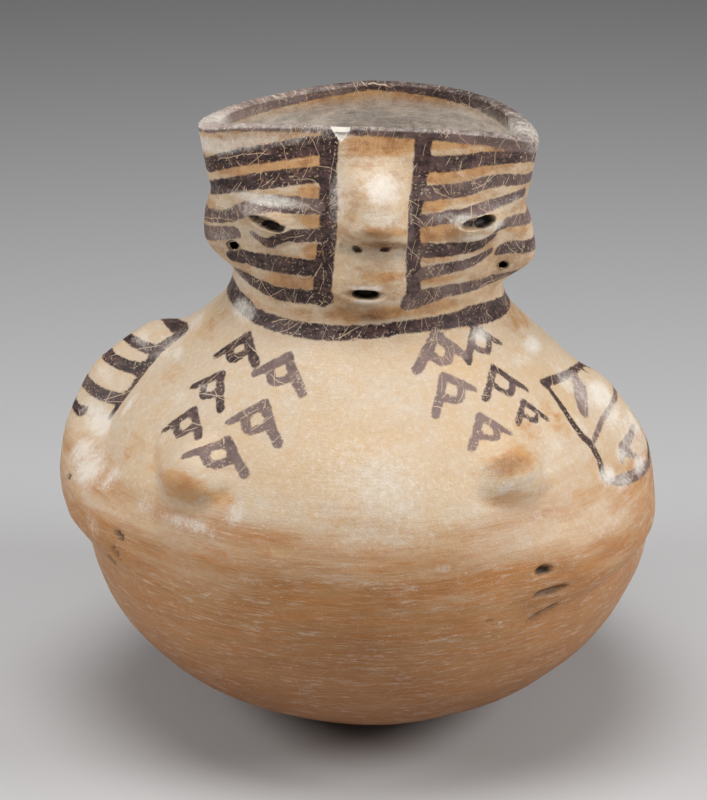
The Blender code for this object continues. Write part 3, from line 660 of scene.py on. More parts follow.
def lipRings(outerEdge, innerEdge, chipped):
    middle, half = (outerEdge + innerEdge) / 2, (outerEdge - innerEdge) / 2
    angles = np.linspace(0, np.pi, meshPlan["lipRows"] + 2)[1:-1, None, None]
    rise = jarForm["wallLip"] * jarForm["lipRounding"] * np.sin(angles)
    broken = incised["chip"]["depth"] * chipped[..., None] * np.cos(angles / 2)
    return middle + half * np.cos(angles) + (rise - broken) * [0, 0, 1]


def ringFaces(rows, columns):
    # Quads between the rings, and fans round the middle of the underside and of the floor.
    below, right = np.divmod(np.arange((rows - 1) * columns), columns)
    onward = below * columns + (right + 1) % columns
    here = below * columns + right
    faces = np.stack([here, onward, onward + columns, here + columns], -1).tolist()
    foot, floor, last = rows * columns, rows * columns + 1, (rows - 1) * columns
    for i in range(columns):
        j = (i + 1) % columns
        faces += [(j, i, foot), (last + i, last + j, floor)]
    return faces


kinds = {"outside": 0, "lip": 1, "inside": 2}  # the part of the wall that a point is on


def buildJarMesh():
    # Rings from the foot up the outside, over the lip, and down the inside to the floor.
    turn = ringTurns()
    up, down = outerLengths(), innerLengths()
    outer, shadeInCuts, chipped = outerRing(turn[None], up)
    inner = innerRing(turn[None], down)
    inEdge, outEdge, _ = incised["chip"]["halfWidths"]
    lipChips = chipShare(turn[None], np.linspace(outEdge, inEdge, meshPlan["lipRows"])[:, None])
    lip = lipRings(outer[-1], inner[0], lipChips)
    print("form worked out")
    rings = np.concatenate([outer, lip, inner])
    rows, columns = rings.shape[:2]
    points = np.vstack([rings.reshape(-1, 3), [0, 0, 0], [0, 0, jarForm["wallBelly"]]])
    mesh = bpy.data.meshes.new("jar")
    mesh.from_pydata(points * metresPerMm, [], ringFaces(rows, columns))
    mesh.update()

    def perPoint(values, ends=(0, 0)):
        return np.r_[np.broadcast_to(values, (rows, columns)).reshape(-1), ends]

    kind = np.repeat(list(kinds.values()), [len(outer), len(lip), len(inner)])[:, None]
    lengths = np.concatenate([up, np.full((len(lip), 1), rimLength), down])
    blank = np.zeros((len(inner), columns))
    # Marks that go with each point, among them the painted shade in the slits.
    marks = {
        "kind": perPoint(kind, (kinds["outside"], kinds["inside"])), "length": perPoint(lengths),
        "turn": perPoint(turn[None]), "shadeInCuts": perPoint(np.concatenate([shadeInCuts, 0 * lipChips, blank])),
        "chip": perPoint(np.concatenate([chipped, lipChips, blank])),
    }
    return mesh, points, marks


# The bare inside starts lower at the back, where a strip of orange clay shows below the lip.
insideEdge = {
    "back": (0.6, 0.95), "starts": 2.0, "startsLower": 1.5, "full": 4.5, "fullLower": 2.5,
    "ochreAtBack": 0.8, "corners": (0.9, 1.0), "cornerDepth": (22, 3), "cornerHaze": 0.9,
}


def paintAndFading(points, marks):
    kind, turns = marks["kind"], marks["turn"]
    outside = kind == kinds["outside"]
    paint, faded = unpainted(len(points))
    paint[outside], faded[outside] = paintOn(points[outside])
    outReach, inReach = (periodic(rimPaint["reach"], turns, column) for column in (1, 2))
    reach = np.where(kind == kinds["inside"], inReach, outReach)
    rim = np.where(kind == kinds["lip"], rimPaint["onLip"], reach - (rimLength - marks["length"]))
    onRim = rim > paint
    faded = np.where(onRim, periodic(rimPaint["faded"], turns, 1), faded)
    return np.clip(np.where(onRim, rim, paint), -brush["far"], brush["far"]), faded


def jarAttributes(points, marks):
    kind, turns, edge = marks["kind"], marks["turn"], insideEdge
    below, inside = rimLength - marks["length"], kind == kinds["inside"]
    paint, faded = paintAndFading(points, marks)
    # Besides the paint: the painted shade in the slits, and the chip.
    found = {"paint": paint, "faded": faded, "paintedCutShade": marks["shadeInCuts"], "chip": marks["chip"]}
    for name in patches:
        share = np.zeros(len(points))
        share[~inside] = patchShare(points[~inside], name)
        found[name] = share
    atBack = ramp(*edge["back"], -np.cos(turns))
    starts = edge["starts"] + edge["startsLower"] * atBack
    full = edge["full"] + edge["fullLower"] * atBack
    found["inside"] = inside * ramp(starts, full, below)
    found["ochre"] = np.where(inside, edge["ochreAtBack"] * atBack, found["ochre"])
    atCorners = ramp(*edge["corners"], np.abs(np.sin(turns))) * ramp(*edge["cornerDepth"], below)
    found["bloomAndPaintedHighlights"] = np.where(inside, edge["cornerHaze"] * atCorners, found["bloomAndPaintedHighlights"])
    onLip = np.maximum(periodic(rimPaint["bloomAndPaintedHighlights"], turns, 1), found["bloomAndPaintedHighlights"])
    found["bloomAndPaintedHighlights"] = np.where(kind == kinds["lip"], onLip, found["bloomAndPaintedHighlights"])
    return found


def setAttribute(mesh, name, values):
    layer = mesh.attributes.get(name) or mesh.attributes.new(name, "FLOAT", "POINT")
    layer.data.foreach_set("value", np.asarray(values, np.float32))


def newObject(name, mesh):
    made = bpy.data.objects.new(name, mesh)
    bpy.context.scene.collection.objects.link(made)
    return made


def plainMesh(holder, name):  # the evaluated mesh as a new one, and the holder's modifiers gone
    graph = bpy.context.evaluated_depsgraph_get()
    mesh = bpy.data.meshes.new_from_object(holder.evaluated_get(graph), depsgraph=graph)
    mesh.name = name
    holder.modifiers.clear()
    return mesh


earHoles = {
    # The shade inside the holes is painted: how strong it gets, how deep it is full, and how far from
    # the bore's middle it reaches, in radii.
    "radius": 0.85, "sides": 20, "rings": 70, "shadeStrength": 1.0, "shadeBelow": 0.45, "shadeReach": 1.1,
    "sharpFrom": 65,  # an edge of more degrees than this stays sharp
    "bores": [((-40, -26, 157), (-49.5, 8, 157.4)), ((39.8, -26, 153.6), (50, 8, 154.2))],
}


def boreCutter():
    points, faces = [], []
    sides = earHoles["sides"]
    for entry, outlet in earHoles["bores"]:
        start, end = sagged(np.array(entry, float)), sagged(np.array(outlet, float))
        way = (end - start) / np.linalg.norm(end - start)
        side = np.cross(way, [0, 0, 1])
        side /= np.linalg.norm(side)
        up = np.cross(side, way)
        first, rings = len(points), earHoles["rings"]
        for centre in np.linspace(start, end, rings):
            for angle in np.linspace(0, 2 * np.pi, sides, endpoint=False):
                spoke = side * np.cos(angle) + up * np.sin(angle)
                points.append((centre + spoke * earHoles["radius"]) * metresPerMm)
        last = first + (rings - 1) * sides
        for ring in range(first, last, sides):
            for i in range(sides):
                j = (i + 1) % sides
                faces.append((ring + i, ring + sides + i, ring + sides + j, ring + j))
        faces.append(tuple(first + i for i in range(sides)))
        faces.append(tuple(last + i for i in reversed(range(sides))))
    mesh = bpy.data.meshes.new("earBores")
    mesh.from_pydata(points, [], faces)
    cutter = newObject("earBores", mesh)
    cutter.hide_render = True
    return cutter


def boreShade(points, deep):
    # Painted shade, only below the rim of each ear hole.
    shadeInCuts = np.zeros(len(points))
    shade = earHoles["shadeStrength"] * np.clip(deep / earHoles["shadeBelow"], 0, 1)
    for ends in earHoles["bores"]:
        start, end = (sagged(np.array(place, float)) for place in ends)
        way = (end - start) / np.linalg.norm(end - start)
        off = np.linalg.norm(np.cross(points - start, way), axis=1)
        shadeInCuts = np.maximum(shadeInCuts, shade * (off < earHoles["shadeReach"] * earHoles["radius"]))
    return shadeInCuts


def cutEarHoles(jar, found, points):
    surface = BVHTree.FromObject(jar, bpy.context.evaluated_depsgraph_get())
    cutter = boreCutter()
    boolean = jar.modifiers.new("earHoles", "BOOLEAN")
    boolean.operation, boolean.solver, boolean.object = "DIFFERENCE", "EXACT", cutter
    mesh = plainMesh(jar, "jarPierced")
    tree = KDTree(len(points))
    for i, point in enumerate(points * metresPerMm):
        tree.insert(point, i)
    tree.balance()
    nearest = np.array([tree.find(vertex.co)[1] for vertex in mesh.vertices])
    bpy.data.objects.remove(cutter)
    jar.data = mesh
    mesh.set_sharp_from_angle(angle=math.radians(earHoles["sharpFrom"]))
    places = np.array([vertex.co for vertex in mesh.vertices]) / metresPerMm
    deep = np.array([surface.find_nearest(vertex.co)[3] for vertex in mesh.vertices]) / metresPerMm
    found = {name: values[nearest] for name, values in found.items()}
    # painted shade inside the ear holes
    found["paintedCutShade"] = np.maximum(found["paintedCutShade"], boreShade(places, deep))
    for name, values in found.items():
        setAttribute(mesh, name, values)
    print("ear holes cut:", len(points), "->", len(mesh.vertices), "points")


# Short calls for building a node tree.
class NodeKit:
    def __init__(self, tree):
        self.tree = tree

    def put(self, socket, value):
        if isinstance(value, bpy.types.NodeSocket):
            self.tree.links.new(value, socket)
        else:
            socket.default_value = value

    def add(self, kind, inputs=None, **settings):
        node = self.tree.nodes.new(kind)
        for name, value in settings.items():
            setattr(node, name, value)
        for key, value in (inputs or {}).items():
            self.put(node.inputs[key], value)
        return node

    def math(self, operation, a, b=0.0, clamp=False):
        node = self.add("ShaderNodeMath", {0: a, 1: b}, operation=operation, use_clamp=clamp)
        return node.outputs[0]

    def times(self, *values):
        found = values[0]
        for value in values[1:]:
            found = self.math("MULTIPLY", found, value)
        return found

    def less(self, value):  # 1 minus the value
        return self.math("SUBTRACT", 1.0, value, clamp=True)

    def step(self, value, low, high):  # softly 0 at low and 1 at high
        node = self.add(
            "ShaderNodeMapRange",
            {"Value": value, "From Min": low, "From Max": high},
            interpolation_type="SMOOTHSTEP",
        )
        return node.outputs[0]

    def mix(self, share, a, b):
        node = self.add("ShaderNodeMix", data_type="RGBA")
        self.put(node.inputs[0], share)
        self.put(node.inputs[6], a)
        self.put(node.inputs[7], b)
        return node.outputs[2]


def linear(red, green, blue):  # a screen colour from 0 to 255, as the shader takes it
    found = []
    for value in (red, green, blue):
        share = value / 255
        found.append(share / 12.92 if share <= 0.04045 else ((share + 0.055) / 1.055) ** 2.4)
    return (*found, 1.0)


clayColours = {
    "cream": linear(205, 186, 162), "creamPale": linear(224, 212, 196),
    "creamWarm": linear(205, 177, 141), "orange": linear(184, 126, 72),
    "orangeDeep": linear(152, 96, 48), "tan": linear(180, 134, 88), "ochre": linear(196, 148, 94),
    "dirt": linear(172, 132, 92), "brown": linear(128, 88, 54), "paintDark": linear(40, 27, 26),
    "paint": linear(84, 60, 58), "paintFaded": linear(134, 112, 106), "chalk": linear(228, 222, 212),
    "scratch": linear(208, 178, 148), "insideGrey": linear(168, 157, 147),
    "insideBuff": linear(210, 197, 182), "insideDark": linear(112, 100, 90),
    # painted shade in the slits and the ear holes
    "cutShadeColour": linear(30, 24, 20),
}

# The noises: size of the features in mm, one number or one for each axis, and what else differs
# from a plain noise.
clayNoises = {
    "streaks": {"size": (34, 34, 2.2), "detail": 4, "roughness": 0.6, "twist": 0.4},
    "fineStreaks": {"size": (12, 12, 0.6), "detail": 3, "twist": 0.2, "turned": (0, 3, 0)},
    "clouds": {"size": 26, "detail": 3},
    "mottle": {"size": 5, "detail": 5, "roughness": 0.65},
    "grain": {"size": 0.6, "detail": 3},
    "sandy": {"size": 1.6, "detail": 6, "roughness": 0.8, "shift": 31},
    "slipEdge": {"size": (45, 45, 7), "detail": 5, "roughness": 0.6},
    "fibres": {"size": (7, 7, 0.45), "detail": 5, "roughness": 0.7, "turned": (0, 4, 0), "shift": 41},
    "uneven": {"size": (6, 6, 3), "detail": 7, "roughness": 0.7, "twist": 0.3, "shift": 6},
    "gritty": {"size": (2, 2, 2.6), "detail": 8, "roughness": 0.85, "shift": 27},
    "dirt": {"size": (11, 11, 6), "detail": 8, "roughness": 0.72, "shift": 17},
    "ragged": {"size": 2.4, "detail": 7, "roughness": 0.72},
    "fading": {"size": 7, "detail": 3},
    "brushed": {"size": (4.5, 4.5, 1.8), "detail": 8, "roughness": 0.78},
    "dusty": {"size": 8, "detail": 3, "shift": 13},
    "specks": {"size": 0.8, "detail": 2, "shift": 5},
    "lost": {"size": 3.2, "detail": 7, "roughness": 0.8, "shift": 9},
    "flecks": {"size": (2.2, 2.2, 0.8), "detail": 5, "roughness": 0.7, "shift": 21},
    "fleckAreas": {"size": (22, 22, 9), "detail": 4, "shift": 2},
    "dashes": {"size": (7, 7, 0.9), "detail": 7, "roughness": 0.8, "shift": 51},
    "dashAreas": {"size": (24, 24, 8), "detail": 4, "shift": 58},
    "wiped": {"size": (9, 9, 2.6), "detail": 6, "roughness": 0.75, "twist": 0.3},
    "waver": {"size": 7, "detail": 2},
}

# Layers of colour: the noise, where it starts and where it is full, its strength, and the colour.
clayLayers = {
    "slip": [
        ("clouds", 0.42, 0.7, 1.0, "creamWarm"), ("mottle", 0.44, 0.66, 0.7, "creamWarm"),
        ("sandy", 0.5, 0.66, 0.5, "creamPale"), ("sandy", 0.46, 0.34, 0.35, "ochre"),
        ("fineStreaks", 0.5, 0.75, 0.3, "creamWarm"),
    ],
    "clay": [
        ("streaks", 0.36, 0.66, 1.0, "tan"), ("fineStreaks", 0.46, 0.72, 0.35, "orangeDeep"),
        ("clouds", 0.45, 0.7, 0.4, "orangeDeep"),
    ],
    "wipedClay": [("fibres", 0.52, 0.68, 0.4, "orangeDeep"), ("fibres", 0.47, 0.33, 0.32, "cream")],
    "stain": [("mottle", 0.4, 0.66, 1.0, "orange")],
    "stainOnHead": [("mottle", 0.46, 0.68, 1.0, "orangeDeep")],
    "dirt": [("dirt", 0.44, 0.62, 0.75, "dirt")],
    "paint": [("brushed", 0.42, 0.6, 1.0, "paint"), ("gritty", 0.54, 0.66, 0.5, "paintFaded")],
    "inside": [("wiped", 0.35, 0.65, 1.0, "insideGrey"), ("mottle", 0.5, 0.75, 0.5, "insideDark")],
}

# The share of a noise that counts, from where it starts to where it is full.
clayBands = {
    "dusty": (0.36, 0.6), "specks": (0.59, 0.67), "lost": (0.56, 0.68), "flecks": (0.6, 0.7),
    "fleckAreas": (0.42, 0.6), "dashes": (0.53, 0.62), "dashAreas": (0.36, 0.56),
    "streaks": (0.35, 0.7),
}

# Marks laid out on the mesh: the noise that breaks them up, how much, and where they start and end.
clayMarks = {
    # The brown mark is staining with painted shade, and the white mark is chalky bloom with painted
    # highlights.
    "ochre": ("uneven", 1.6, 0.25, 0.9), "stainAndShade": ("gritty", 1.5, 0.25, 1.25),
    "bloomAndPaintedHighlights": ("gritty", 2.0, 0.2, 1.15), "chip": ("gritty", 1.4, 0.38, 0.55),
}

clayHeights = {  # in metres, where each starts and where it is full
    "bare": (0.1, 0.07), "deep": (0.062, 0.02), "stainOnHead": (0.115, 0.14),
    "dirt": (0.125, 0.15), "hairs": (0.115, 0.145),
    "slipEdge": 0.06,  # how far the slip's lower edge wanders
}

clayStrengths = {
    "deep": 0.85, "ochre": 0.85, "stainAndShade": 0.85, "scratch": 0.5, "bloomAndPaintedHighlights": 0.8, "flecks": 0.55,
    "dashes": 0.42, "chip": 0.92, "hairsBelow": 0.35,
}

paintWear = {
    "raggedness": 2.0, "edge": (-0.36, 0.3), "fades": (0.05, 0.95),
    "specks": 0.8, "hairs": 0.75, "lostWhenFresh": 0.5, "lostWhenFaded": 0.5,
}

clayScratches = {
    "kinds": [  # lean, length, spacing and half width in mm, share of the cells kept
        (38, 11, 4.5, 0.16, 0.22), (-42, 13, 5, 0.15, 0.22), (70, 9, 4, 0.16, 0.2),
        (-68, 12, 5, 0.14, 0.2), (12, 15, 5.5, 0.15, 0.2), (-18, 17, 6, 0.14, 0.2),
        (4, 26, 7, 0.17, 0.18), (52, 7, 3.5, 0.13, 0.25),
    ],
    "wallRadius": 65, "waver": 3,  # in mm
    "shift": 3.7, "slope": 1.1, "bend": 1.6, "sharpness": 0.4, "longest": 0.26, "shortest": 0.2,
    "taper": 0.1,
}

claySheen = {
    "roughness": 0.45, "streakRoughness": 0.12, "hazeRoughness": 0.25, "specular": 0.35,
    "bump": 0.45, "bumpDepth": 0.0007,
    "grain": 0.45, "fineStreaks": 0.25, "mottle": 0.9, "hairs": 0.12, "paint": 0.2,
}


class ClayKit(NodeKit):
    def __init__(self, tree):
        super().__init__(tree)
        self.place = self.add("ShaderNodeTexCoord").outputs["Object"]
        self.made = {}

    def newNoise(self, size, detail=3.0, roughness=0.55, twist=0.0, turned=(0, 0, 0), shift=0.0):
        sizes = size if isinstance(size, tuple) else (size,) * 3
        mapped = self.add(
            "ShaderNodeMapping",
            {
                "Vector": self.place,
                "Location": (shift, shift, shift),
                "Rotation": tuple(math.radians(angle) for angle in turned),
                "Scale": tuple(1 / (each * metresPerMm) for each in sizes),
            },
        )
        node = self.add(
            "ShaderNodeTexNoise",
            {
                "Vector": mapped.outputs[0], "Scale": 1.0, "Detail": detail,
                "Roughness": roughness, "Distortion": twist,
            },
        )
        return node.outputs[0]

    def noise(self, name):  # made at its first use
        if name not in self.made:
            self.made[name] = self.newNoise(**clayNoises[name])
        return self.made[name]

    def centred(self, name):
        return self.math("SUBTRACT", self.noise(name), 0.5)

    def band(self, name):
        return self.step(self.noise(name), *clayBands[name])

    def attribute(self, name):
        return self.add("ShaderNodeAttribute", attribute_name=name).outputs["Fac"]

    def mark(self, name):
        noise, raggedness, low, high = clayMarks[name]
        rough = self.times(self.centred(noise), raggedness)
        return self.step(self.math("ADD", self.attribute(name), rough), low, high)

    def lay(self, ground, colour, *shares):
        return self.mix(self.times(*shares), ground, clayColours[colour])

    def layered(self, ground, name, *masks):
        for noise, low, high, strength, colour in clayLayers[name]:
            ground = self.lay(ground, colour, self.step(self.noise(noise), low, high), strength, *masks)
        return ground

    def unrolled(self):  # distance round and up the wall, in metres, wavering a little
        x, y, z = self.add("ShaderNodeSeparateXYZ", {0: self.place}).outputs
        radius, waver = (clayScratches[name] * metresPerMm for name in ("wallRadius", "waver"))
        around = self.times(self.math("ARCTAN2", x, self.times(y, -1.0)), radius)
        waver = self.times(self.centred("waver"), waver)
        return self.math("ADD", around, waver), self.math("ADD", z, waver)

    def leaning(self, around, up, lean):  # the same distances along and across a leaning line
        cos, sin = math.cos(math.radians(lean)), math.sin(math.radians(lean))
        along = self.math("ADD", self.times(around, cos), self.times(up, sin))
        return along, self.math("SUBTRACT", self.times(up, cos), self.times(around, sin))

    def scratches(self, around, up, lean, long, apart, width, keep, shift):
        # one thin, slightly bent line in some of the long cells of a leaning grid
        form = clayScratches
        along, across = self.leaning(around, up, lean)
        across = self.math("ADD", self.times(across, 1 / (apart * metresPerMm)), shift)
        row = self.math("FLOOR", across)
        rowStart = self.add("ShaderNodeTexWhiteNoise", {"W": row}, noise_dimensions="1D").outputs[0]
        along = self.math("ADD", self.times(along, 1 / (long * metresPerMm)), rowStart)
        cell = self.add("ShaderNodeCombineXYZ", {0: self.math("FLOOR", along), 1: row, 2: shift})
        chance = self.add("ShaderNodeTexWhiteNoise", {"Vector": cell.outputs[0]})
        present, slope, bend = self.add("ShaderNodeSeparateXYZ", {0: chance.outputs["Color"]}).outputs
        place = self.math("SUBTRACT", self.math("FRACT", along), 0.5)
        tilt = self.times(self.math("SUBTRACT", slope, 0.5), form["slope"], place)
        curve = self.times(self.math("SUBTRACT", bend, 0.5), form["bend"], place, place)
        off = self.math("SUBTRACT", self.math("FRACT", across), 0.5)
        off = self.math("SUBTRACT", off, self.math("ADD", tilt, curve))
        share = width / apart
        line = self.step(self.math("ABSOLUTE", off), share, share * form["sharpness"])
        reach = self.math("ADD", self.times(slope, form["longest"]), form["shortest"])
        beyond = self.math("SUBTRACT", reach, self.math("ABSOLUTE", place))
        ends = self.step(beyond, 0.0, form["taper"])
        return self.times(line, ends, self.math("LESS_THAN", present, keep))

    def hairs(self):  # all the kinds of scratches together
        around, up = self.unrolled()
        kinds = enumerate(clayScratches["kinds"])
        each = [self.scratches(around, up, *kind, clayScratches["shift"] * i) for i, kind in kinds]
        found = each[0]
        for more in each[1:]:
            found = self.math("MAXIMUM", found, more)
        return found


def bareGround(kit, height):
    # Cream slip, warmer in clouds, over orange clay, which shows where the slip stops.
    edge = kit.math("ADD", height, kit.times(kit.centred("slipEdge"), clayHeights["slipEdge"]))
    bare = kit.step(edge, *clayHeights["bare"])
    slip = kit.layered(clayColours["cream"], "slip")
    ground = kit.mix(bare, slip, kit.layered(clayColours["orange"], "clay"))
    # Darker orange towards the foot.
    deep = kit.step(edge, *clayHeights["deep"])
    ground = kit.lay(ground, "orangeDeep", deep, clayStrengths["deep"])
    return kit.layered(ground, "wipedClay", bare), bare


def stained(kit, ground, height):
    # Ochre clouds, dirt on the head, and brown stains; the ochre and the brown also carry painted shade.
    onHead = kit.step(height, *clayHeights["stainOnHead"])
    stain = kit.layered(kit.layered(clayColours["ochre"], "stain"), "stainOnHead", onHead)
    ground = kit.mix(kit.times(kit.mark("ochre"), clayStrengths["ochre"]), ground, stain)
    ground = kit.layered(ground, "dirt", kit.step(height, *clayHeights["dirt"]))
    # brown staining, partly painted shade
    return kit.lay(ground, "brown", kit.mark("stainAndShade"), clayStrengths["stainAndShade"])


def painted(kit, ground, hairs):
    # Paint, brushed on, worn at its edges, scratched through and speckled.
    ragged = kit.times(kit.centred("ragged"), paintWear["raggedness"])
    cover = kit.step(kit.math("ADD", kit.attribute("paint"), ragged), *paintWear["edge"])
    faded = kit.math("ADD", kit.attribute("faded"), kit.centred("fading"))
    paint = kit.layered(clayColours["paintDark"], "paint")
    paint = kit.lay(paint, "paintFaded", kit.step(faded, *paintWear["fades"]))
    specks = kit.times(kit.band("specks"), kit.band("dusty"), paintWear["specks"])
    worn = kit.times(faded, paintWear["lostWhenFaded"])
    lost = kit.times(kit.band("lost"), kit.math("ADD", worn, paintWear["lostWhenFresh"]))
    kept = kit.times(kit.less(specks), kit.less(kit.times(hairs, paintWear["hairs"])), kit.less(lost))
    cover = kit.times(cover, kept)
    return kit.mix(cover, ground, paint), cover


def weathered(kit, surface, hairs, bloomAndPaintedHighlights, bare):
    # Chalky bloom with painted highlights, flecks and scratches over everything, and then the chip and
    # the painted shade in the cuts.
    surface = kit.lay(surface, "scratch", hairs, clayStrengths["scratch"])
    # chalky bloom, with painted highlights on the nose, the lips and the eyelids
    surface = kit.lay(surface, "chalk", bloomAndPaintedHighlights, clayStrengths["bloomAndPaintedHighlights"])
    flecks = kit.times(kit.band("flecks"), kit.band("fleckAreas"))
    surface = kit.lay(surface, "creamPale", flecks, clayStrengths["flecks"])
    dashes = kit.times(kit.band("dashes"), kit.band("dashAreas"), bare)
    surface = kit.lay(surface, "creamPale", dashes, clayStrengths["dashes"])
    surface = kit.lay(surface, "chalk", kit.mark("chip"), clayStrengths["chip"])
    return kit.lay(surface, "cutShadeColour", kit.attribute("paintedCutShade"))


def withInside(kit, surface, bloomAndPaintedHighlights):
    # The inside: unslipped, wiped round with a wet hand.
    within = kit.layered(clayColours["insideBuff"], "inside")
    within = kit.lay(within, "chalk", bloomAndPaintedHighlights, clayStrengths["bloomAndPaintedHighlights"])
    return kit.mix(kit.attribute("inside"), surface, within)


def sheenAndRelief(kit, shader, hairs, bloomAndPaintedHighlights, cover):
    sheen = claySheen
    gloss = kit.math("ADD", kit.times(kit.band("streaks"), sheen["streakRoughness"]), sheen["roughness"])
    gloss = kit.math("ADD", gloss, kit.times(bloomAndPaintedHighlights, sheen["hazeRoughness"]))
    kit.put(shader.inputs["Roughness"], gloss)
    shader.inputs["Specular IOR Level"].default_value = sheen["specular"]
    relief = kit.times(cover, sheen["paint"])
    for name in ("grain", "fineStreaks", "mottle"):
        relief = kit.math("ADD", relief, kit.times(kit.noise(name), sheen[name]))
    relief = kit.math("SUBTRACT", relief, kit.times(hairs, sheen["hairs"]))
    bump = kit.add(
        "ShaderNodeBump",
        {"Height": relief, "Strength": sheen["bump"], "Distance": sheen["bumpDepth"]},
    )
    kit.put(shader.inputs["Normal"], bump.outputs[0])


def clayMaterial():
    material = bpy.data.materials.new("slippedClay")
    material.use_nodes = True
    shader = material.node_tree.nodes["Principled BSDF"]
    kit = ClayKit(material.node_tree)
    height = kit.add("ShaderNodeSeparateXYZ", {0: kit.place}).outputs[2]
    hairs, bloomAndPaintedHighlights = kit.hairs(), kit.mark("bloomAndPaintedHighlights")
    ground, bare = bareGround(kit, height)
    surface, cover = painted(kit, stained(kit, ground, height), hairs)
    below = clayStrengths["hairsBelow"]
    onHead = kit.times(kit.step(height, *clayHeights["hairs"]), 1 - below)
    hairs = kit.times(hairs, kit.math("ADD", onHead, below))
    surface = weathered(kit, surface, hairs, bloomAndPaintedHighlights, bare)
    kit.put(shader.inputs["Base Color"], withInside(kit, surface, bloomAndPaintedHighlights))
    sheenAndRelief(kit, shader, hairs, bloomAndPaintedHighlights, cover)
    return material


def newTree(name, values):  # a node tree that takes the geometry, the named values and a material
    tree = bpy.data.node_groups.new(name, "GeometryNodeTree")
    sockets = tree.interface
    sockets.new_socket("Geometry", in_out="INPUT", socket_type="NodeSocketGeometry")
    for each, value in values.items():
        kind = "NodeSocketInt" if isinstance(value, int) else "NodeSocketFloat"
        sockets.new_socket(each, in_out="INPUT", socket_type=kind).default_value = value
    sockets.new_socket("Material", in_out="INPUT", socket_type="NodeSocketMaterial")
    sockets.new_socket("Geometry", in_out="OUTPUT", socket_type="NodeSocketGeometry")
    kit = NodeKit(tree)
    return kit, kit.add("NodeGroupInput").outputs


def finishTree(kit, geometry, given):
    real = kit.add("GeometryNodeRealizeInstances", {0: geometry}).outputs[0]
    coloured = kit.add("GeometryNodeSetMaterial", {"Geometry": real, "Material": given["Material"]})
    kit.add("NodeGroupOutput", {0: coloured.outputs[0]})
    return kit.tree


def runTree(holder, tree, values, name):
    modifier = holder.modifiers.new(tree.name, "NODES")
    modifier.node_group = tree
    for item in tree.interface.items_tree:
        if item.item_type == "SOCKET" and item.in_out == "INPUT" and item.name in values:
            modifier[item.identifier] = values[item.name]
    return plainMesh(holder, name)


# Hand-built unevenness: a node tree that moves each point along its normal.
handwork = {
    "inputs": {
        "Swell Size": 0.034, "Swell Depth": 0.0007, "Scrape Size": 0.007, "Scrape Depth": 0.00022,
        "Inwards": 0.3,  # keeps nearly every move on the inner side of the plain form
    },
    "widths": {"Swell": 1.0, "Scrape": 0.35},  # a scrape runs round the wall
    "detail": 2.0, "clearOfFoot": (0.002, 0.012),
}


def unevenness(kit, given, place, kind):
    width = handwork["widths"][kind]
    drawn = kit.add("ShaderNodeVectorMath", {0: place, 1: (width, width, 1.0)}, operation="MULTIPLY")
    scale = kit.math("DIVIDE", 1.0, given[kind + " Size"])
    values = {"Vector": drawn.outputs[0], "Scale": scale, "Detail": handwork["detail"]}
    noise = kit.add("ShaderNodeTexNoise", values).outputs[0]
    centred = kit.math("SUBTRACT", kit.math("SUBTRACT", noise, 0.5), given["Inwards"])
    return kit.times(centred, given[kind + " Depth"], 2.0)


def handworkTree():
    kit, given = newTree("handwork", handwork["inputs"])
    place = kit.add("GeometryNodeInputPosition").outputs[0]
    normal = kit.add("GeometryNodeInputNormal").outputs[0]
    moves = [unevenness(kit, given, place, kind) for kind in handwork["widths"]]
    height = kit.add("ShaderNodeSeparateXYZ", {0: place}).outputs[2]
    move = kit.times(kit.math("ADD", *moves), kit.step(height, *handwork["clearOfFoot"]))
    offset = kit.add("ShaderNodeVectorMath", {0: normal, "Scale": move}, operation="SCALE").outputs[0]
    moved = kit.add("GeometryNodeSetPosition", {"Geometry": given[0], "Offset": offset})
    return finishTree(kit, moved.outputs[0], given)


# Lime crumbs: small flat grains of the chalky bloom, scattered where it is thickest.
crumbs = {
    "inputs": {
        "Density": 900000.0, "Grain": 0.00026, "Flatness": 0.34, "Least Bloom": 0.34,
        "Most Bloom": 1.1, "Patch Scale": 420.0, "Smallest": 0.45, "Largest": 1.3,
        "Narrowness": 0.8, "Seed": 7,
    },
    "patches": (0.48, 0.62), "patchDetail": 3.0,
    "colour": linear(226, 220, 208), "roughness": 0.85,
}


def grainSize(kit, given):
    limits = {2: given["Smallest"], 3: given["Largest"], "Seed": given["Seed"]}
    size = kit.add("FunctionNodeRandomValue", limits, data_type="FLOAT").outputs[1]
    narrow, flat = kit.times(size, given["Narrowness"]), kit.times(size, given["Flatness"])
    return kit.add("ShaderNodeCombineXYZ", {0: size, 1: narrow, 2: flat}).outputs[0]


def crumbsTree():
    kit, given = newTree("limeCrumbs", crumbs["inputs"])
    bloom = kit.add("GeometryNodeInputNamedAttribute", {"Name": "bloomAndPaintedHighlights"}, data_type="FLOAT").outputs[0]
    place = kit.add("GeometryNodeInputPosition").outputs[0]
    values = {"Vector": place, "Scale": given["Patch Scale"], "Detail": crumbs["patchDetail"]}
    patch = kit.step(kit.add("ShaderNodeTexNoise", values).outputs[0], *crumbs["patches"])
    share = kit.times(kit.step(bloom, given["Least Bloom"], given["Most Bloom"]), patch)
    density = kit.times(share, given["Density"])
    scattered = kit.add(
        "GeometryNodeDistributePointsOnFaces",
        {"Mesh": given[0], "Density": density, "Seed": given["Seed"]},
        distribute_method="RANDOM",
    ).outputs
    grain = kit.add("GeometryNodeMeshIcoSphere", {"Radius": given["Grain"], "Subdivisions": 1})
    placed = kit.add(
        "GeometryNodeInstanceOnPoints",
        {
            "Points": scattered["Points"], "Instance": grain.outputs[0],
            "Rotation": scattered["Rotation"], "Scale": grainSize(kit, given),
        },
    )
    return finishTree(kit, placed.outputs[0], given)


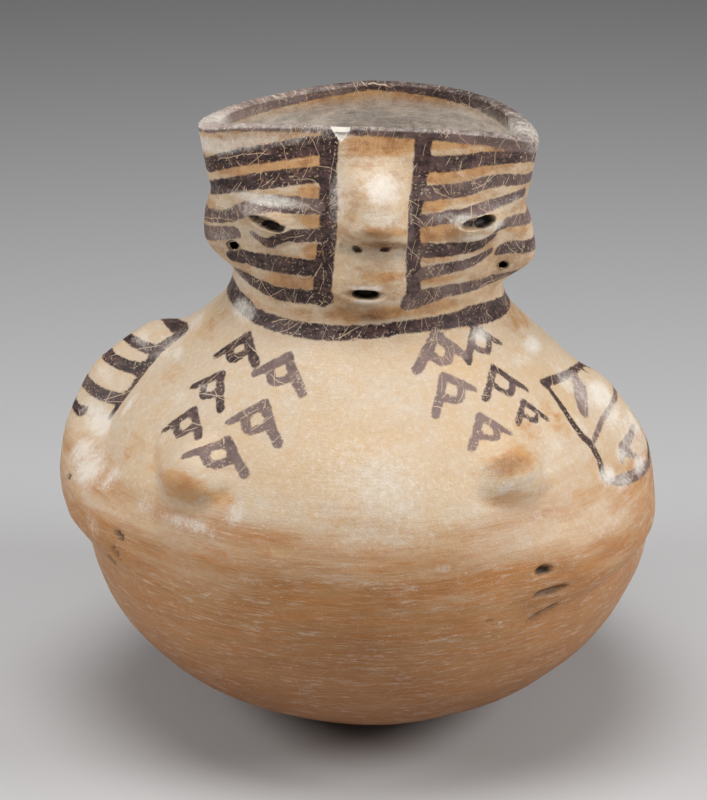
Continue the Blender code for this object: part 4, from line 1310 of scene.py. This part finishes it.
def crumbMaterial():
    material = bpy.data.materials.new("limeBloom")
    material.use_nodes = True
    shader = material.node_tree.nodes["Principled BSDF"]
    shader.inputs["Base Color"].default_value = crumbs["colour"]
    shader.inputs["Roughness"].default_value = crumbs["roughness"]
    return material


def makeJar():
    mesh, points, marks = buildJarMesh()
    print("jar form:", len(points), "points")
    found = jarAttributes(points, marks)
    print("paint laid out")
    jar = newObject("paintedJar", mesh)
    cutEarHoles(jar, found, points)
    values = {**handwork["inputs"], "Material": clayMaterial()}
    jar.data = runTree(jar, handworkTree(), values, "paintedJar")
    jar.data.shade_smooth()
    grains = newObject("limeCrumbs", jar.data.copy())
    values = {**crumbs["inputs"], "Material": crumbMaterial()}
    grains.data = runTree(grains, crumbsTree(), values, "limeCrumbs")
    for piece in (jar, grains):
        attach(piece, "root")
        piece.data.calc_loop_triangles()
        print(piece.name, "finished:", len(piece.data.loop_triangles), "triangles")
    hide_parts("effigy_jar")


studio = {
    "floorHalfSize": 3.0, "floorColour": linear(190, 190, 191), "floorRoughness": 0.9,
    "worldColour": (0.62, 0.64, 0.68, 1.0), "worldStrength": 0.12,
    "camera": (-0.0045, -0.825, 0.413), "aim": (-0.0045, 0.0, 0.100), "lens": 126.0,
    "lightsAim": (0, 0, 0.1),
    "lights": {  # place, size, spread in degrees, watts, colour
        "overhead": ((-0.05, -0.14, 1.15), 0.7, 120, 3.6, (1.0, 0.985, 0.97)),
        "front": ((0, -1.3, 0.55), 0.7, 180, 0.45, (1.0, 0.985, 0.97)),
        "left": ((-0.8, -0.25, 0.6), 0.45, 180, 4.3, (1.0, 0.99, 0.98)),
        "right": ((0.8, -0.25, 0.55), 0.45, 180, 6.0, (1.0, 0.99, 0.98)),
    },
}


def aimAt(thing, target):
    way = Vector(target) - thing.location
    thing.rotation_euler = way.to_track_quat("-Z", "Y").to_euler()


def makeFloor():
    half = studio["floorHalfSize"]
    corners = [(-half, -half, 0), (half, -half, 0), (half, half, 0), (-half, half, 0)]
    mesh = bpy.data.meshes.new("floor")
    mesh.from_pydata(corners, [], [(0, 1, 2, 3)])
    floor = newObject("floor", mesh)
    material = bpy.data.materials.new("paleFloor")
    material.use_nodes = True
    shader = material.node_tree.nodes["Principled BSDF"]
    shader.inputs["Base Color"].default_value = studio["floorColour"]
    shader.inputs["Roughness"].default_value = studio["floorRoughness"]
    mesh.materials.append(material)
    floor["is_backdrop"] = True


def makeLights():
    world = bpy.data.worlds.new("studio")
    world.use_nodes = True
    background = world.node_tree.nodes["Background"]
    background.inputs[0].default_value = studio["worldColour"]
    background.inputs[1].default_value = studio["worldStrength"]
    bpy.context.scene.world = world
    for name, (place, size, spread, watts, colour) in studio["lights"].items():
        light = bpy.data.lights.new(name, "AREA")
        light.shape, light.size, light.energy, light.color = "DISK", size, watts, colour
        light.spread = math.radians(spread)
        lamp = newObject(name, light)
        lamp.location = place
        aimAt(lamp, studio["lightsAim"])


def makeStudio():
    makeFloor()
    makeLights()
    camera = newObject("camera", bpy.data.cameras.new("camera"))
    camera.data.lens = studio["lens"]
    camera.location = studio["camera"]
    aimAt(camera, studio["aim"])
    bpy.context.scene.camera = camera
    bpy.context.scene.view_settings.view_transform = "Standard"
    print("studio made")


makeJar()
makeStudio()
[[list(corner) for corner in box] for box in (cadBox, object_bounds())]
print("scene ready")
